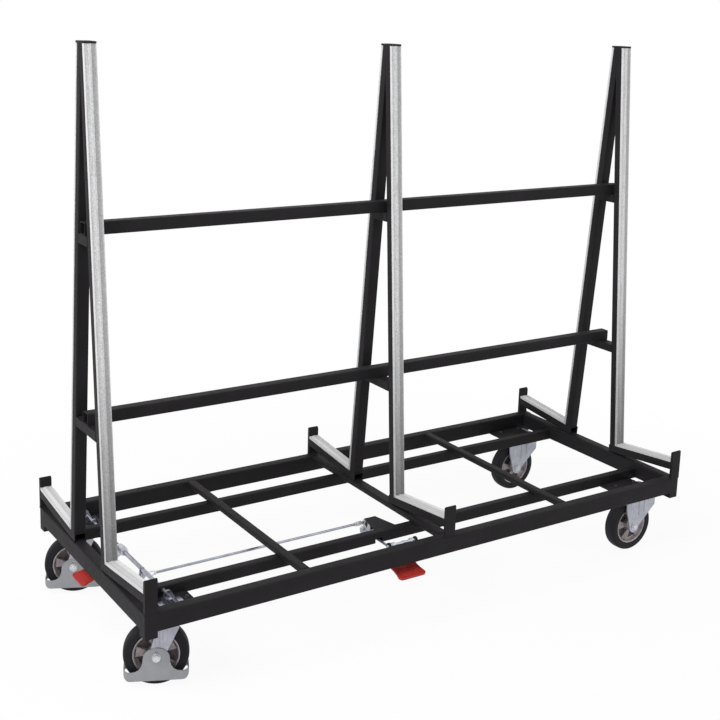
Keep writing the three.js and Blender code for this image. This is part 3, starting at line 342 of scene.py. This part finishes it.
def smoothing():
    """A node group that welds a mesh and shades it smooth, apart from edges that turn sharply."""
    group = bpy.data.node_groups.new("smooth_corners", "GeometryNodeTree")
    group.interface.new_socket("Geometry", in_out="INPUT", socket_type="NodeSocketGeometry")
    group.interface.new_socket("Geometry", in_out="OUTPUT", socket_type="NodeSocketGeometry")
    new, link = group.nodes.new, group.links.new
    start, end = new("NodeGroupInput"), new("NodeGroupOutput")
    bare = new("GeometryNodeRemoveAttribute")
    bare.inputs["Name"].default_value = "custom_normal"
    weld = new("GeometryNodeMergeByDistance")
    weld.inputs["Distance"].default_value = WELD_DISTANCE
    faces = new("GeometryNodeSetShadeSmooth")
    edges = new("GeometryNodeSetShadeSmooth")
    edges.domain = "EDGE"
    edges.inputs["Shade Smooth"].default_value = False
    angle = new("GeometryNodeInputMeshEdgeAngle")
    sharp = new("FunctionNodeCompare")
    sharp.operation = "GREATER_THAN"
    sharp.inputs["B"].default_value = SHARP_TURN
    link(angle.outputs["Unsigned Angle"], sharp.inputs["A"])
    link(sharp.outputs["Result"], edges.inputs["Selection"])
    chain = [start, bare, weld, faces, edges, end]
    for a, b in zip(chain, chain[1:]):
        link(a.outputs[0], b.inputs[0])
    return group


def node_material(name):
    if name == "front_pedal":
        return FRONT_RED
    if name == "end_pedal":
        return END_RED
    if name.endswith("guard"):
        return GUARD
    if name.endswith("axle"):
        return BRIGHT
    if name.endswith(("brake_shaft", "push_rod", "bell_crank", "pedal_link", "plunger", "head")):
        return POLISHED
    return ZINC if name.endswith("fork") else BLACK


SMOOTH = smoothing()
for name, node in nodes.items():
    node.data.materials.clear()
    node.data.materials.append(node_material(name))
    node.modifiers.new("smooth", "NODES").node_group = SMOOTH
    node.modifiers.new("even", "WEIGHTED_NORMAL").keep_sharp = True


# Mesh building

WASHER_SEGMENTS = 28
WASHER_EDGE = 0.3
STUB_SIDES = 16
DOME_SIDES = 24


def finish_piece(name, bm, body, materials, sharp=35):
    """Makes an object of the mesh; edges that turn by more than sharp degrees stay sharp."""
    mesh = bpy.data.meshes.new(name)
    bmesh.ops.recalc_face_normals(bm, faces=bm.faces)
    bm.to_mesh(mesh)
    bm.free()
    mesh.shade_smooth()
    mesh.set_sharp_from_angle(angle=math.radians(sharp))
    piece = bpy.data.objects.new(name, mesh)
    bpy.context.scene.collection.objects.link(piece)
    for material in materials:
        mesh.materials.append(material)
    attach(piece, body)
    return piece


def add_lathe(bm, profile, segments, place=Matrix(), material=0):
    """A closed ring from a list of (radius, y) points, turned about the local Y axis."""
    rings = []
    for i in range(segments):
        angle = 2 * math.pi * i / segments
        c, s = math.cos(angle), math.sin(angle)
        rings.append([bm.verts.new(place @ Vector((r * c * MM, y * MM, r * s * MM))) for r, y in profile])
    count = len(profile)
    for i in range(segments):
        a, b = rings[i], rings[(i + 1) % segments]
        for k in range(count):
            n = (k + 1) % count
            bm.faces.new((a[k], b[k], b[n], a[n])).material_index = material


def add_loft(bm, rings, accents=None):
    """Skins between closed rings of points and fills both ends; accents maps a strip to its material."""
    strips = accents or {}
    made = [[bm.verts.new(p) for p in ring] for ring in rings]
    count = len(rings[0])
    for a, b in zip(made, made[1:]):
        for k in range(count):
            n = (k + 1) % count
            bm.faces.new((a[k], a[n], b[n], b[k])).material_index = strips.get(k, 0)
    bm.faces.new(made[0][::-1])
    bm.faces.new(made[-1])


def frame_along(centre, axis):
    """A placement whose local Y axis points along axis."""
    turn = Vector((0, 1, 0)).rotation_difference(Vector(axis))
    return Matrix.Translation(centre) @ turn.to_matrix().to_4x4()


def raised(place, height):
    """The placement moved along its own Y axis."""
    return place @ Matrix.Translation((0, height * MM, 0))


def polygon(place, radius, height, sides, turn=0.0):
    ring = []
    for i in range(sides):
        angle = turn + 2 * math.pi * i / sides
        x, z = radius * math.cos(angle), radius * math.sin(angle)
        ring.append(place @ Vector((x * MM, height * MM, z * MM)))
    return ring


def add_hex(bm, place, radius, height, turn=0.3):
    levels = ((radius * 0.93, 0), (radius, 0.5), (radius, height - 1.4), (radius * 0.86, height))
    add_loft(bm, [polygon(place, r, h, 6, turn) for r, h in levels])


def add_washer(bm, place, inner, outer, thick):
    edge = WASHER_EDGE
    profile = [(inner, 0), (outer, 0), (outer, thick - edge), (outer - edge, thick), (inner, thick)]
    add_lathe(bm, profile, WASHER_SEGMENTS, place)


def add_stub(bm, place, radius, height):
    levels = ((radius, 0), (radius, height - 1), (radius * 0.75, height))
    add_loft(bm, [polygon(place, r, h, STUB_SIDES) for r, h in levels])


# Wheels: smooth tyres and five-spoked rims in place of the plainer CAD ones

TYRE_HALF = [
    (71.3, 21.8), (73.5, 23.6), (77.0, 24.6), (82.0, 25.0), (86.0, 24.8),
    (87.0, 24.2), (88.0, 24.2), (89.0, 24.7), (92.0, 24.2), (95.0, 22.6),
    (97.4, 20.0), (98.8, 16.6), (99.6, 12.0), (99.9, 6.0), (100.0, 0.0),
]
BARREL_HALF = [
    (56.0, 8.0), (60.5, 11.0), (64.5, 18.5), (66.0, 20.4),
    (67.4, 21.0), (68.6, 21.0), (70.9, 20.6),
]
LIP_HALF = [(68.4, 20.6), (68.8, 21.8), (70.2, 22.3), (71.0, 21.9), (71.2, 20.8)]
HUB_HALF = [(8.3, 32.0), (9.2, 32.5), (20.6, 32.5), (22.0, 31.6), (22.6, 29.0), (24.0, 9.0), (26.0, 5.0)]
WEB_HALF = [(20.0, 5.0), (59.0, 5.0)]
RIM_LOOKS = [RIM, RIM_SHADED_POCKET, RIM_LIP]
RIM_INDEX, SHADED_POCKET_INDEX, LIP_INDEX = range(3)
TYRE_SEGMENTS = 128
RIM_SEGMENTS = 96
HUB_SEGMENTS = 64
SPOKES = 5
SPOKE_TURN = math.radians(172)
SPOKE_HALF_ANGLE = math.radians(16)
SPOKE_CREST = ((22.5, 19.0), (34.0, 17.5), (48.0, 16.2), (63.0, 16.0))
SPOKE_SECTION = ((-1.0, 12.0), (-1.0, 1.2), (-0.93, 0.0), (0.93, 0.0), (1.0, 1.2), (1.0, 12.0))


def mirrored(half):
    """A closed ring outline from its +Y half, listed from the bore outwards."""
    lower = [(r, -y) for r, y in half if y > 0]
    return lower + half[::-1]


def wheel_place(name, angle):
    low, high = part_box(name + "_castor_tyre")
    return Matrix.Translation((low + high) / 2) @ Matrix.Rotation(angle, 4, "Z")


def add_spoke(bm, place, angle, side):
    """A wedge-shaped spoke on one side of the web, highest at the hub."""
    rings = []
    for radius, height in SPOKE_CREST:
        ring = []
        for share, drop in SPOKE_SECTION:
            turn = angle + share * SPOKE_HALF_ANGLE
            point = Vector((radius * math.cos(turn), side * (height - drop), radius * math.sin(turn)))
            ring.append(place @ (point * MM))
        rings.append(ring if side > 0 else ring[::-1])
    add_loft(bm, rings)


def build_wheel(name, angle):
    place = wheel_place(name, angle)
    body = name + "_wheel"
    tyre = bmesh.new()
    add_lathe(tyre, mirrored(TYRE_HALF), TYRE_SEGMENTS, place)
    piece = finish_piece(name + "_tyre", tyre, body, [TYRE], sharp=28)
    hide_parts(name + "_castor_tyre")
    rim = bmesh.new()
    add_lathe(rim, mirrored(BARREL_HALF), RIM_SEGMENTS, place, RIM_INDEX)
    for side in (1, -1):
        lip = [(r, side * y) for r, y in LIP_HALF]
        add_lathe(rim, lip, RIM_SEGMENTS, place, LIP_INDEX)
    add_lathe(rim, mirrored(HUB_HALF), HUB_SEGMENTS, place, LIP_INDEX)
    # The web between the spokes, in painted shade
    add_lathe(rim, mirrored(WEB_HALF), RIM_SEGMENTS, place, SHADED_POCKET_INDEX)
    for i in range(SPOKES):
        for side in (1, -1):
            add_spoke(rim, place, SPOKE_TURN + 2 * math.pi * i / SPOKES, side)
    piece = finish_piece(name + "_rim", rim, body, RIM_LOOKS, sharp=30)
    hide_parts(name + "_castor_rim")


for castor, _ in SWIVEL_CASTORS:
    build_wheel(castor, SWIVEL_ANGLE)
for castor, _ in FIXED_CASTORS:
    build_wheel(castor, 0.0)


# Ribbed pads down the posts and out along the toes

PAD_LIP = 3.0
PAD_RIDGE = 3.5
PAD_ROUND = 1.8
PAD_GAP = 0.3
CHANNEL_SLOPE = 2.0
CHANNEL_DEPTH = 1.6
CHANNEL_SHALLOW = 0.8
CURVE_STEPS = 4
POST_LEVELS = (POST_TOP - PAD_GAP, 1500, 1100, 750, 450)
TOE_LEVELS = (260, STOP_REACH - PAD_GAP)
PAD_LOOKS = [PAD, PAD_HIGHLIGHT_EDGE, PAD_SHADED_CHANNEL]
# Painted highlight: the lighter tone on the sides and rounded edges of the section
HIGHLIGHT_STRIPS = (1, 2, 3, 4, 5, 28, 29, 30, 31)
# Painted shade: the darker tone in one channel of the section
SHADED_CHANNEL_STRIPS = range(17, 26)
PAD_ACCENTS = dict.fromkeys(HIGHLIGHT_STRIPS, 1) | dict.fromkeys(SHADED_CHANNEL_STRIPS, 2)


def channel_dip(t, depth):
    """The height of a point on the channel's side, for t from 0 at its top to 1 at its foot."""
    return -depth * (0.5 - 0.5 * math.cos(math.pi * t))


def pad_section():
    """The pad's closed section as (across, height) pairs; height 0 is its lips and its ridge."""
    half = FRAME_WIDTH / 2
    back = -PAD_THICK + PAD_GAP
    steps = [i / CURVE_STEPS for i in range(CURVE_STEPS + 1)]
    right = []
    for t in steps:
        angle = math.pi / 2 * t
        across = half - PAD_ROUND + PAD_ROUND * math.cos(angle)
        right.append((across, -PAD_ROUND + PAD_ROUND * math.sin(angle)))
    for t in steps:
        right.append((half - PAD_LIP - CHANNEL_SLOPE * t, channel_dip(t, CHANNEL_DEPTH)))
    for t in reversed(steps):
        right.append((PAD_RIDGE + CHANNEL_SLOPE * t, channel_dip(t, CHANNEL_SHALLOW)))
    left = [(-x, height) for x, height in reversed(right)]
    return [(-half, back), (half, back)] + right + left


def build_pad(side, face, sign):
    along_post = Vector((-math.sin(LEAN), math.cos(LEAN)))
    off_post = Vector((math.cos(LEAN), math.sin(LEAN)))
    along_toe = Vector((math.cos(TOE_TILT), math.sin(TOE_TILT)))
    off_toe = Vector((-math.sin(TOE_TILT), math.cos(TOE_TILT)))
    mitre = (off_post + off_toe) / (1 + off_post.dot(off_toe))
    corner = Vector((FOOT_REACH, CORNER_Z))
    section = pad_section()

    def ring(spot):
        points = []
        for across, height in section:
            reach, z = spot(height)
            points.append(at(FRAME_X[side] + sign * across, sign * reach, z))
        return points

    def on_post(height, z):
        start = corner + off_post * height
        return start + along_post * ((z - start.y) / along_post.y)

    def on_toe(height, reach):
        start = corner + off_toe * height
        return start + along_toe * ((reach - start.x) / along_toe.x)

    rings = [ring(lambda h, z=z: on_post(h, z)) for z in POST_LEVELS]
    rings.append(ring(lambda h: corner + mitre * h))
    rings += [ring(lambda h, r=r: on_toe(h, r)) for r in TOE_LEVELS]
    bm = bmesh.new()
    add_loft(bm, rings, PAD_ACCENTS)
    name = f"{side}_{face}_ribbed_pad"
    piece = finish_piece(name, bm, "chassis", PAD_LOOKS, sharp=32)
    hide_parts(f"{side}_{face}_pad")


for side in SIDES:
    for face, sign in FACES:
        build_pad(side, face, sign)


# Rolled edges of the cap plates

CAP_CORNER = 2
CAP_CORNER_POINTS = 4
CAP_RIM = ((0.9, -6.0), (0.9, -0.6), (0.4, 0.1), (-1.2, 0.1), (-1.2, -0.8), (-0.5, -6.0))


def cap_outline(grow):
    """Points (dx, dy) round the cap, which is an oblong with rounded corners, grown by some mm."""
    points = []
    for corner in range(4):
        first = math.pi / 2 * corner
        middle = first + math.pi / 4
        x = math.copysign(FRAME_WIDTH / 2 - CAP_CORNER, math.cos(middle))
        y = math.copysign(CAP_REACH - CAP_CORNER, math.sin(middle))
        for i in range(CAP_CORNER_POINTS):
            angle = first + math.pi / 2 * i / (CAP_CORNER_POINTS - 1)
            radius = CAP_CORNER + grow
            points.append((x + radius * math.cos(angle), y + radius * math.sin(angle)))
    return points


def build_cap_rim(side):
    """A thin rolled edge around the cap: a closed band of six loops."""
    bm = bmesh.new()
    loops = []
    for grow, dz in CAP_RIM:
        outline = cap_outline(grow)
        loops.append([bm.verts.new(at(FRAME_X[side] + dx, dy, CAP_TOP + dz)) for dx, dy in outline])
    count = len(loops[0])
    for a, b in zip(loops, loops[1:] + loops[:1]):
        for k in range(count):
            n = (k + 1) % count
            bm.faces.new((a[k], a[n], b[n], b[k]))
    finish_piece(side + "_cap_rim", bm, "chassis", [BLACK], sharp=50)


for side in SIDES:
    build_cap_rim(side)


# Fasteners: a washer is (bore, radius, thickness), a nut, head or stub is (radius, height)

UP, DOWN = (0, 0, 1), (0, 0, -1)
PLATE_BOLT_Y = 42
SWIVEL_BOLTS = (-61, 61)
FIXED_BOLTS = (-34, 64)
PLATE_WASHER = (4.2, 7.6, 1.4)
PLATE_HEAD = (6.2, 4.5)
PLATE_NUT = (6.6, 5.5)
PLATE_STUB = (3.9, 8.0)
AXLE_WASHER = (10.0, 13.6, 1.2)
AXLE_DOME = ((8.0, -0.6), (7.4, 0.4), (5.6, 1.0), (3.0, 1.4))


def build_plate_bolts(castor, x, y, spread):
    """Small dark bolts through the mounting plate and the castor's top plate."""
    bm = bmesh.new()
    for dx in spread:
        for dy in (-PLATE_BOLT_Y, PLATE_BOLT_Y):
            top = frame_along(at(x + dx, y + dy, MOUNT_PLATE_TOP), UP)
            add_washer(bm, top, *PLATE_WASHER)
            add_hex(bm, raised(top, PLATE_WASHER[2]), *PLATE_HEAD)
            below = frame_along(at(x + dx, y + dy, TOP_PLATE_BOTTOM), DOWN)
            add_hex(bm, below, *PLATE_NUT)
            add_stub(bm, below, *PLATE_STUB)
    finish_piece(castor + "_plate_bolts", bm, "chassis", [DARK_BOLT])


for castor, y in SWIVEL_CASTORS:
    build_plate_bolts(castor, SWIVEL_X, y, SWIVEL_BOLTS)
for castor, y in FIXED_CASTORS:
    build_plate_bolts(castor, FIXED_X, y, FIXED_BOLTS)


def build_axle_ends(castor, body, angle, reach):
    """A washer under each axle head and a domed end on it."""
    place = wheel_place(castor, angle)
    bm = bmesh.new()
    for side in (1, -1):
        turn = Matrix() if side > 0 else Matrix.Rotation(math.pi, 4, "X")
        head = raised(place @ turn, reach)
        add_washer(bm, head, *AXLE_WASHER)
        dome = raised(head, AXLE_HEAD)
        add_loft(bm, [polygon(dome, r, h, DOME_SIDES) for r, h in AXLE_DOME])
    finish_piece(castor + "_axle_ends", bm, body, [BRIGHT])


for castor, _ in SWIVEL_CASTORS:
    build_axle_ends(castor, castor + "_fork", SWIVEL_ANGLE, SWIVEL_AXLE_REACH)
for castor, _ in FIXED_CASTORS:
    build_axle_ends(castor, "chassis", 0.0, FIXED_AXLE_REACH)


# Ribs pressed into the forks' legs, each as (x from the castor's middle, bottom, top)

FIXED_RIBS = ((24, 138, 226), (52, 146, 226))
SWIVEL_RIBS = ((28, 150, 205), (50, 132, 205))
RIB_WIDTH = 13.0
RIB_HEIGHT = 3.4
RIB_SINK = 0.2
RIB_LEVELS = (0.0, 0.03, 0.08, 0.5, 0.92, 0.97, 1.0)
RIB_END = 0.08
RIB_TIP = 0.08
RIB_FULLNESS = 0.6
RIB_STEPS = 8


def add_rib(bm, place, x, low, high):
    """A rounded rib that stands up along z on the leg's outer face, which looks along local -Y."""
    rings = []
    for share in RIB_LEVELS:
        from_end = min(share, 1 - share)
        swell = math.sin(math.pi / 2 * from_end / RIB_END) if from_end < RIB_END else 1.0
        swell = max(swell, RIB_TIP)
        ring = []
        for k in range(RIB_STEPS + 1):
            angle = math.pi * k / RIB_STEPS
            across = 0.5 * RIB_WIDTH * swell * math.cos(angle)
            out = -RIB_HEIGHT * swell * math.sin(angle) ** RIB_FULLNESS
            ring.append(place @ (Vector((x + across, out, low + (high - low) * share)) * MM))
        rings.append(ring)
    add_loft(bm, rings)


def build_fork_ribs(castor, body, centre, angle, ribs, direction):
    bm = bmesh.new()
    for turn, sign in ((0.0, 1), (math.pi, -1)):
        place = Matrix.Translation(centre) @ Matrix.Rotation(angle + turn, 4, "Z")
        place = raised(place, RIB_SINK - LEG_OUTSIDE)
        for x, low, high in ribs:
            add_rib(bm, place, sign * direction * x, low, high)
    finish_piece(castor + "_fork_ribs", bm, body, [ZINC], sharp=50)


for castor, y in FIXED_CASTORS:
    build_fork_ribs(castor, "chassis", at(FIXED_X, y, 0), 0.0, FIXED_RIBS, 1)
for castor, y in SWIVEL_CASTORS:
    build_fork_ribs(castor, castor + "_fork", at(SWIVEL_X, y, 0), SWIVEL_ANGLE, SWIVEL_RIBS, -1)


# Fastenings of the brake linkage

PIN_WASHER = (3.0, 8.6, 1.2)
PIN_NUT = (7.4, 5.0)
PIN_STUB = (3.6, 9.0)
COUPLING_START = 15
COUPLING = (8.0, 24.0)
LOCK_NUT_START = 24.6
LOCK_NUT = (7.2, 6.0)
COLLAR = (6.0, 12.5, 6.0)
COLLAR_PLACES = (END_PEDAL_Y - 23, END_PEDAL_Y + 17)


def build_bell_crank_nuts():
    bm = bmesh.new()
    c, s = math.cos(BELL_TURN), math.sin(BELL_TURN)
    for dx, dy in ((-BELL_ARM * c, -BELL_ARM * s), (-BELL_ARM * s, BELL_ARM * c)):
        top = frame_along(at(BELL[0] + dx, BELL[1] + dy, BELL_PIN_TOP), UP)
        add_washer(bm, top, *PIN_WASHER)
        add_hex(bm, raised(top, PIN_WASHER[2]), *PIN_NUT)
        add_stub(bm, top, *PIN_STUB)
    finish_piece("bell_crank_nuts", bm, "bell_crank", [BRIGHT])


def build_push_rod_couplings():
    bm = bmesh.new()
    for end, sign in zip(PUSH_ROD_ENDS, (1, -1)):
        start = frame_along(at(end + sign * COUPLING_START, PUSH_ROD_Y, LINK_Z), (sign, 0, 0))
        add_hex(bm, start, *COUPLING, turn=0.0)
        add_hex(bm, raised(start, LOCK_NUT_START), *LOCK_NUT, turn=0.2)
    finish_piece("push_rod_couplings", bm, "push_rod", [BRIGHT])


def build_shaft_collars():
    bm = bmesh.new()
    for y in COLLAR_PLACES:
        add_washer(bm, frame_along(at(SWIVEL_X, y, BRAKE_SHAFT_Z), (0, 1, 0)), *COLLAR)
    finish_piece("brake_shaft_collars", bm, "brake_shaft", [BRIGHT])


build_bell_crank_nuts()
build_push_rod_couplings()
build_shaft_collars()


# Rolled rims and tread ribs of the pedals

RIM_INSET = 2.2
RIM_RADIUS = 1.7
RIM_SIDE_STEPS = 10
RIM_CORNER_STEPS = 8
FRONT_RIM_START = 0.45
END_RIM_START = 0.1
TREAD_RIBS = 4
TREAD_START = 11
TREAD_STEP = 9
TREAD_MARGIN = 17
TREAD_RADIUS = 1.1
TREAD_POINTS = 13
TUBE_SIDES = 8
ALL_RED = 9.0


def pedal_outline(width, length, start):
    """Points along the foot plate's edge from one side near its root, round the tip, to the other side."""
    side = width / 2
    shoulder = length - PEDAL_CORNER
    half = []
    for i in range(RIM_SIDE_STEPS + 1):
        t = start + (1 - start) * i / RIM_SIDE_STEPS
        x = side * (1 - t) ** 2 + 2 * (side - PEDAL_WAIST) * t * (1 - t) + side * t * t
        half.append((x - RIM_INSET, shoulder * t))
    for i in range(1, RIM_CORNER_STEPS + 1):
        t = i / RIM_CORNER_STEPS
        x = side * (1 - t) ** 2 + 2 * side * t * (1 - t) + (side - PEDAL_CORNER) * t * t
        y = shoulder * (1 - t) ** 2 + 2 * length * t * (1 - t) + length * t * t
        half.append((x - RIM_INSET * (1 - t), y - RIM_INSET * t))
    return half + [(-x, y) for x, y in reversed(half)]


def add_tube(bm, points, radius):
    """A round tube through a row of points."""
    rings = []
    for i, point in enumerate(points):
        ahead = points[min(i + 1, len(points) - 1)] - points[max(i - 1, 0)]
        side = ahead.cross(Vector(UP)).normalized()
        other = side.cross(ahead).normalized()
        ring = []
        for k in range(TUBE_SIDES):
            angle = 2 * math.pi * k / TUBE_SIDES
            ring.append(point + (side * math.cos(angle) + other * math.sin(angle)) * radius * MM)
        rings.append(ring)
    add_loft(bm, rings)


def on_front_pedal(across, along, above):
    """A point of the front pedal's foot plate."""
    x, y, z = FRONT_PEDAL_ROOT
    c, s = math.cos(FRONT_TILT), math.sin(FRONT_TILT)
    return at(x - across, y - along * c - above * s, z - along * s + above * c)


def on_end_pedal(across, along, above):
    """A point of the end pedal's foot plate."""
    x, y, z = END_PEDAL_ROOT
    c, s = math.cos(END_TILT), math.sin(END_TILT)
    return at(x - along * c - above * s, y + across, z - along * s + above * c)


def build_pedal_tread(name, body, place, size, start):
    """The rim starts at a share of the foot plate's length, and place is one of the two functions above."""
    width, length = size
    above = PEDAL_THICK / 2
    bm = bmesh.new()
    add_tube(bm, [place(x, y, above) for x, y in pedal_outline(width, length, start)], RIM_RADIUS)
    reach = width / 2 - TREAD_MARGIN
    half_way = (TREAD_POINTS - 1) / 2
    for step in range(TREAD_RIBS):
        along = length - TREAD_START - TREAD_STEP * step
        line = [place(reach * (i / half_way - 1), along, above) for i in range(TREAD_POINTS)]
        add_tube(bm, line, TREAD_RADIUS)
    finish_piece(name, bm, body, [RED], sharp=50)


RED = pedal_red("Z", ALL_RED)
build_pedal_tread("front_pedal_tread", "front_pedal", on_front_pedal, FRONT_PEDAL_SIZE, FRONT_RIM_START)
build_pedal_tread("end_pedal_tread", "brake_shaft", on_end_pedal, END_PEDAL_SIZE, END_RIM_START)


# Weld beads on the black frame

BEAD = 2.6
TOP_BEAD = 2.4
FINE_BEAD = 2.2
BEAD_INSET = 2
HEEL_INSET = 5
CROSS_BEAD_DROP = 19
BEAD_RIPPLE = 6.0
BEAD_WAVE = 0.07
BEAD_SCATTER = 0.03
BEAD_TIP = 0.45
BEAD_SIDES = 8


def add_bead(bm, start, end, radius):
    """A weld bead from start to end: a rippled bar sunk half way into the joint."""
    line = end - start
    steps = max(4, round(line.length / (BEAD_RIPPLE * MM / 4)))
    side = line.orthogonal().normalized()
    other = line.normalized().cross(side)
    rings = []
    for i in range(steps + 1):
        t = i / steps
        wave = math.cos(2 * math.pi * t * line.length / (BEAD_RIPPLE * MM))
        swell = 1 - BEAD_WAVE + BEAD_WAVE * wave + random.uniform(-BEAD_SCATTER, BEAD_SCATTER)
        if i in (0, steps):
            swell *= BEAD_TIP
        ring = []
        for k in range(BEAD_SIDES):
            angle = 2 * math.pi * k / BEAD_SIDES
            offset = side * math.cos(angle) + other * math.sin(angle)
            ring.append(start + line * t + offset * radius * swell * MM)
        rings.append(ring)
    add_loft(bm, rings)


def build_beads():
    bm = bmesh.new()
    half = FRAME_WIDTH / 2

    def bead(start, end, radius=FINE_BEAD):
        add_bead(bm, at(*start), at(*end), radius)

    for side in SIDES:
        x = FRAME_X[side]
        for sign in (-1, 1):
            heel = sign * TOE_HEEL
            toe = sign * (TOE_HEEL + TOE_JOINT)
            stop = sign * STOP_REACH
            outer = sign * (STOP_REACH + STOP_THICK)
            for edge in (x - half, x + half):
                bead((edge, heel, RAIL_TOP), (edge, toe, RAIL_TOP), BEAD)
                bead((edge, stop, RAIL_TOP), (edge, outer, RAIL_TOP))
            bead((x - half + HEEL_INSET, heel, RAIL_TOP), (x + half - HEEL_INSET, heel, RAIL_TOP))
            bead((x - half, stop, RAIL_TOP), (x + half, stop, RAIL_TOP))
            for bottom in LONG_RAIL_BOTTOMS:
                bead((x - half, sign * half, bottom), (x + half, sign * half, bottom))
    for x, width in CROSS_BARS:
        for sign in (-1, 1):
            y = sign * RAIL_INSIDE_Y
            for edge in (x - width / 2, x + width / 2):
                bead((edge, y, RAIL_TOP - CROSS_BEAD_DROP), (edge, y, RAIL_TOP - BEAD_INSET))
    for end in (-1, 1):
        for sign in (-1, 1):
            x, y = end * END_RAIL_INSIDE_X, sign * INNER_RAIL_Y
            inner, outer = y - INNER_RAIL_HALF, y + INNER_RAIL_HALF
            start = (x, inner + BEAD_INSET, INNER_RAIL_TOP)
            bead(start, (x, outer - BEAD_INSET, INNER_RAIL_TOP), TOP_BEAD)
            for edge in (inner, outer):
                bead((x, edge, RAIL_BOTTOM + BEAD_INSET), (x, edge, INNER_RAIL_TOP - BEAD_INSET))
    finish_piece("weld_beads", bm, "chassis", [BLACK], sharp=60)


build_beads()


# Floor, light and camera, with the floor and the lamps in metres

FLOOR_HALF = 60
FLOOR_TONES = (0.86, 0.9)
FLOOR_FADE = {"From Min": 1.2, "From Max": 2.6, "To Min": 0.93, "To Max": 1.0}
WORLD_LEVEL = 0.5
LAMP_TARGET = (0, 0, 0.8)
CAMERA_ANGLES = (33.58, 11.86, 1.81)
CAMERA_PLACE = (-2411.5, -3483.1, 2037.1)
CAMERA_LENS = 61.67
CAMERA_SHIFT = -0.136


def seen_directly(tree):
    """1 for rays that show the background itself: camera, glossy and transmission rays."""
    path = tree.nodes.new("ShaderNodeLightPath")
    total = path.outputs["Is Camera Ray"]
    for name in ("Is Glossy Ray", "Is Transmission Ray"):
        either = tree.nodes.new("ShaderNodeMath")
        either.operation = "MAXIMUM"
        tree.links.new(total, either.inputs[0])
        tree.links.new(path.outputs[name], either.inputs[1])
        total = either.outputs["Value"]
    return total


def floor_white():
    """A matt floor that glows white where it is seen directly, a little less near the part's shadow."""
    material = bpy.data.materials.new("floor_white")
    material.use_nodes = True
    tree = material.node_tree
    tree.nodes.clear()
    new, link = tree.nodes.new, tree.links.new
    grain = new("ShaderNodeTexNoise")
    grain.inputs["Scale"].default_value = 3.0
    tone = new("ShaderNodeValToRGB")
    for stop, level in zip(tone.color_ramp.elements, FLOOR_TONES):
        stop.color = (level, level, level, 1)
    link(grain.outputs["Fac"], tone.inputs["Fac"])
    matt = new("ShaderNodeBsdfDiffuse")
    link(tone.outputs["Color"], matt.inputs["Color"])
    reach = new("ShaderNodeVectorMath")
    reach.operation = "LENGTH"
    link(new("ShaderNodeTexCoord").outputs["Object"], reach.inputs[0])
    fade = new("ShaderNodeMapRange")
    for socket, value in FLOOR_FADE.items():
        fade.inputs[socket].default_value = value
    link(reach.outputs["Value"], fade.inputs["Value"])
    share = new("ShaderNodeMath")
    share.operation = "MULTIPLY"
    link(seen_directly(tree), share.inputs[0])
    link(fade.outputs["Result"], share.inputs[1])
    mix = new("ShaderNodeMixShader")
    link(share.outputs["Value"], mix.inputs["Fac"])
    link(matt.outputs["BSDF"], mix.inputs[1])
    link(new("ShaderNodeEmission").outputs["Emission"], mix.inputs[2])
    link(mix.outputs["Shader"], new("ShaderNodeOutputMaterial").inputs["Surface"])
    return material


def build_floor():
    mesh = bpy.data.meshes.new("floor")
    corners = [(x * FLOOR_HALF, y * FLOOR_HALF, 0) for x, y in ((-1, -1), (1, -1), (1, 1), (-1, 1))]
    mesh.from_pydata(corners, [], [(0, 1, 2, 3)])
    floor = bpy.data.objects.new("floor", mesh)
    bpy.context.scene.collection.objects.link(floor)
    mesh.materials.append(floor_white())


def build_world(level):
    """White where it is seen directly, and a softer light on the part."""
    world = bpy.data.worlds.new("studio")
    bpy.context.scene.world = world
    world.use_nodes = True
    tree = world.node_tree
    back = tree.nodes["Background"]
    back.inputs["Color"].default_value = (1, 1, 1, 1)
    strength = tree.nodes.new("ShaderNodeMapRange")
    strength.inputs["To Min"].default_value = level
    strength.inputs["To Max"].default_value = 1.0
    tree.links.new(seen_directly(tree), strength.inputs["Value"])
    tree.links.new(strength.outputs["Result"], back.inputs["Strength"])


def build_lamp(name, place, size, power):
    lamp = bpy.data.lights.new(name, "AREA")
    lamp.size = size
    lamp.energy = power
    holder = bpy.data.objects.new(name, lamp)
    bpy.context.scene.collection.objects.link(holder)
    aim = Vector(LAMP_TARGET) - Vector(place)
    holder.matrix_world = Matrix.Translation(place) @ aim.to_track_quat("-Z", "Y").to_matrix().to_4x4()


def build_camera():
    yaw, pitch, roll = (math.radians(a) for a in CAMERA_ANGLES)
    ahead = Vector((math.cos(pitch) * math.sin(yaw), math.cos(pitch) * math.cos(yaw), -math.sin(pitch)))
    right = Vector((math.cos(yaw), -math.sin(yaw), 0))
    up = right.cross(ahead)
    across = math.cos(roll) * right + math.sin(roll) * up
    upward = -math.sin(roll) * right + math.cos(roll) * up
    place = Matrix((across, upward, -ahead)).transposed().to_4x4()
    place.translation = at(*CAMERA_PLACE)
    lens = bpy.data.cameras.new("photo_camera")
    lens.sensor_width = 36
    lens.lens = CAMERA_LENS
    lens.shift_y = CAMERA_SHIFT
    lens.clip_end = 100
    camera = bpy.data.objects.new("photo_camera", lens)
    bpy.context.scene.collection.objects.link(camera)
    camera.matrix_world = place
    bpy.context.scene.camera = camera


build_floor()
build_world(WORLD_LEVEL)
build_lamp("key", (-4.6, -1.2, 5.4), size=3.5, power=300)
build_lamp("fill", (3.5, -5.0, 2.4), size=4.0, power=60)
build_camera()
bpy.context.scene.view_settings.view_transform = "Standard"
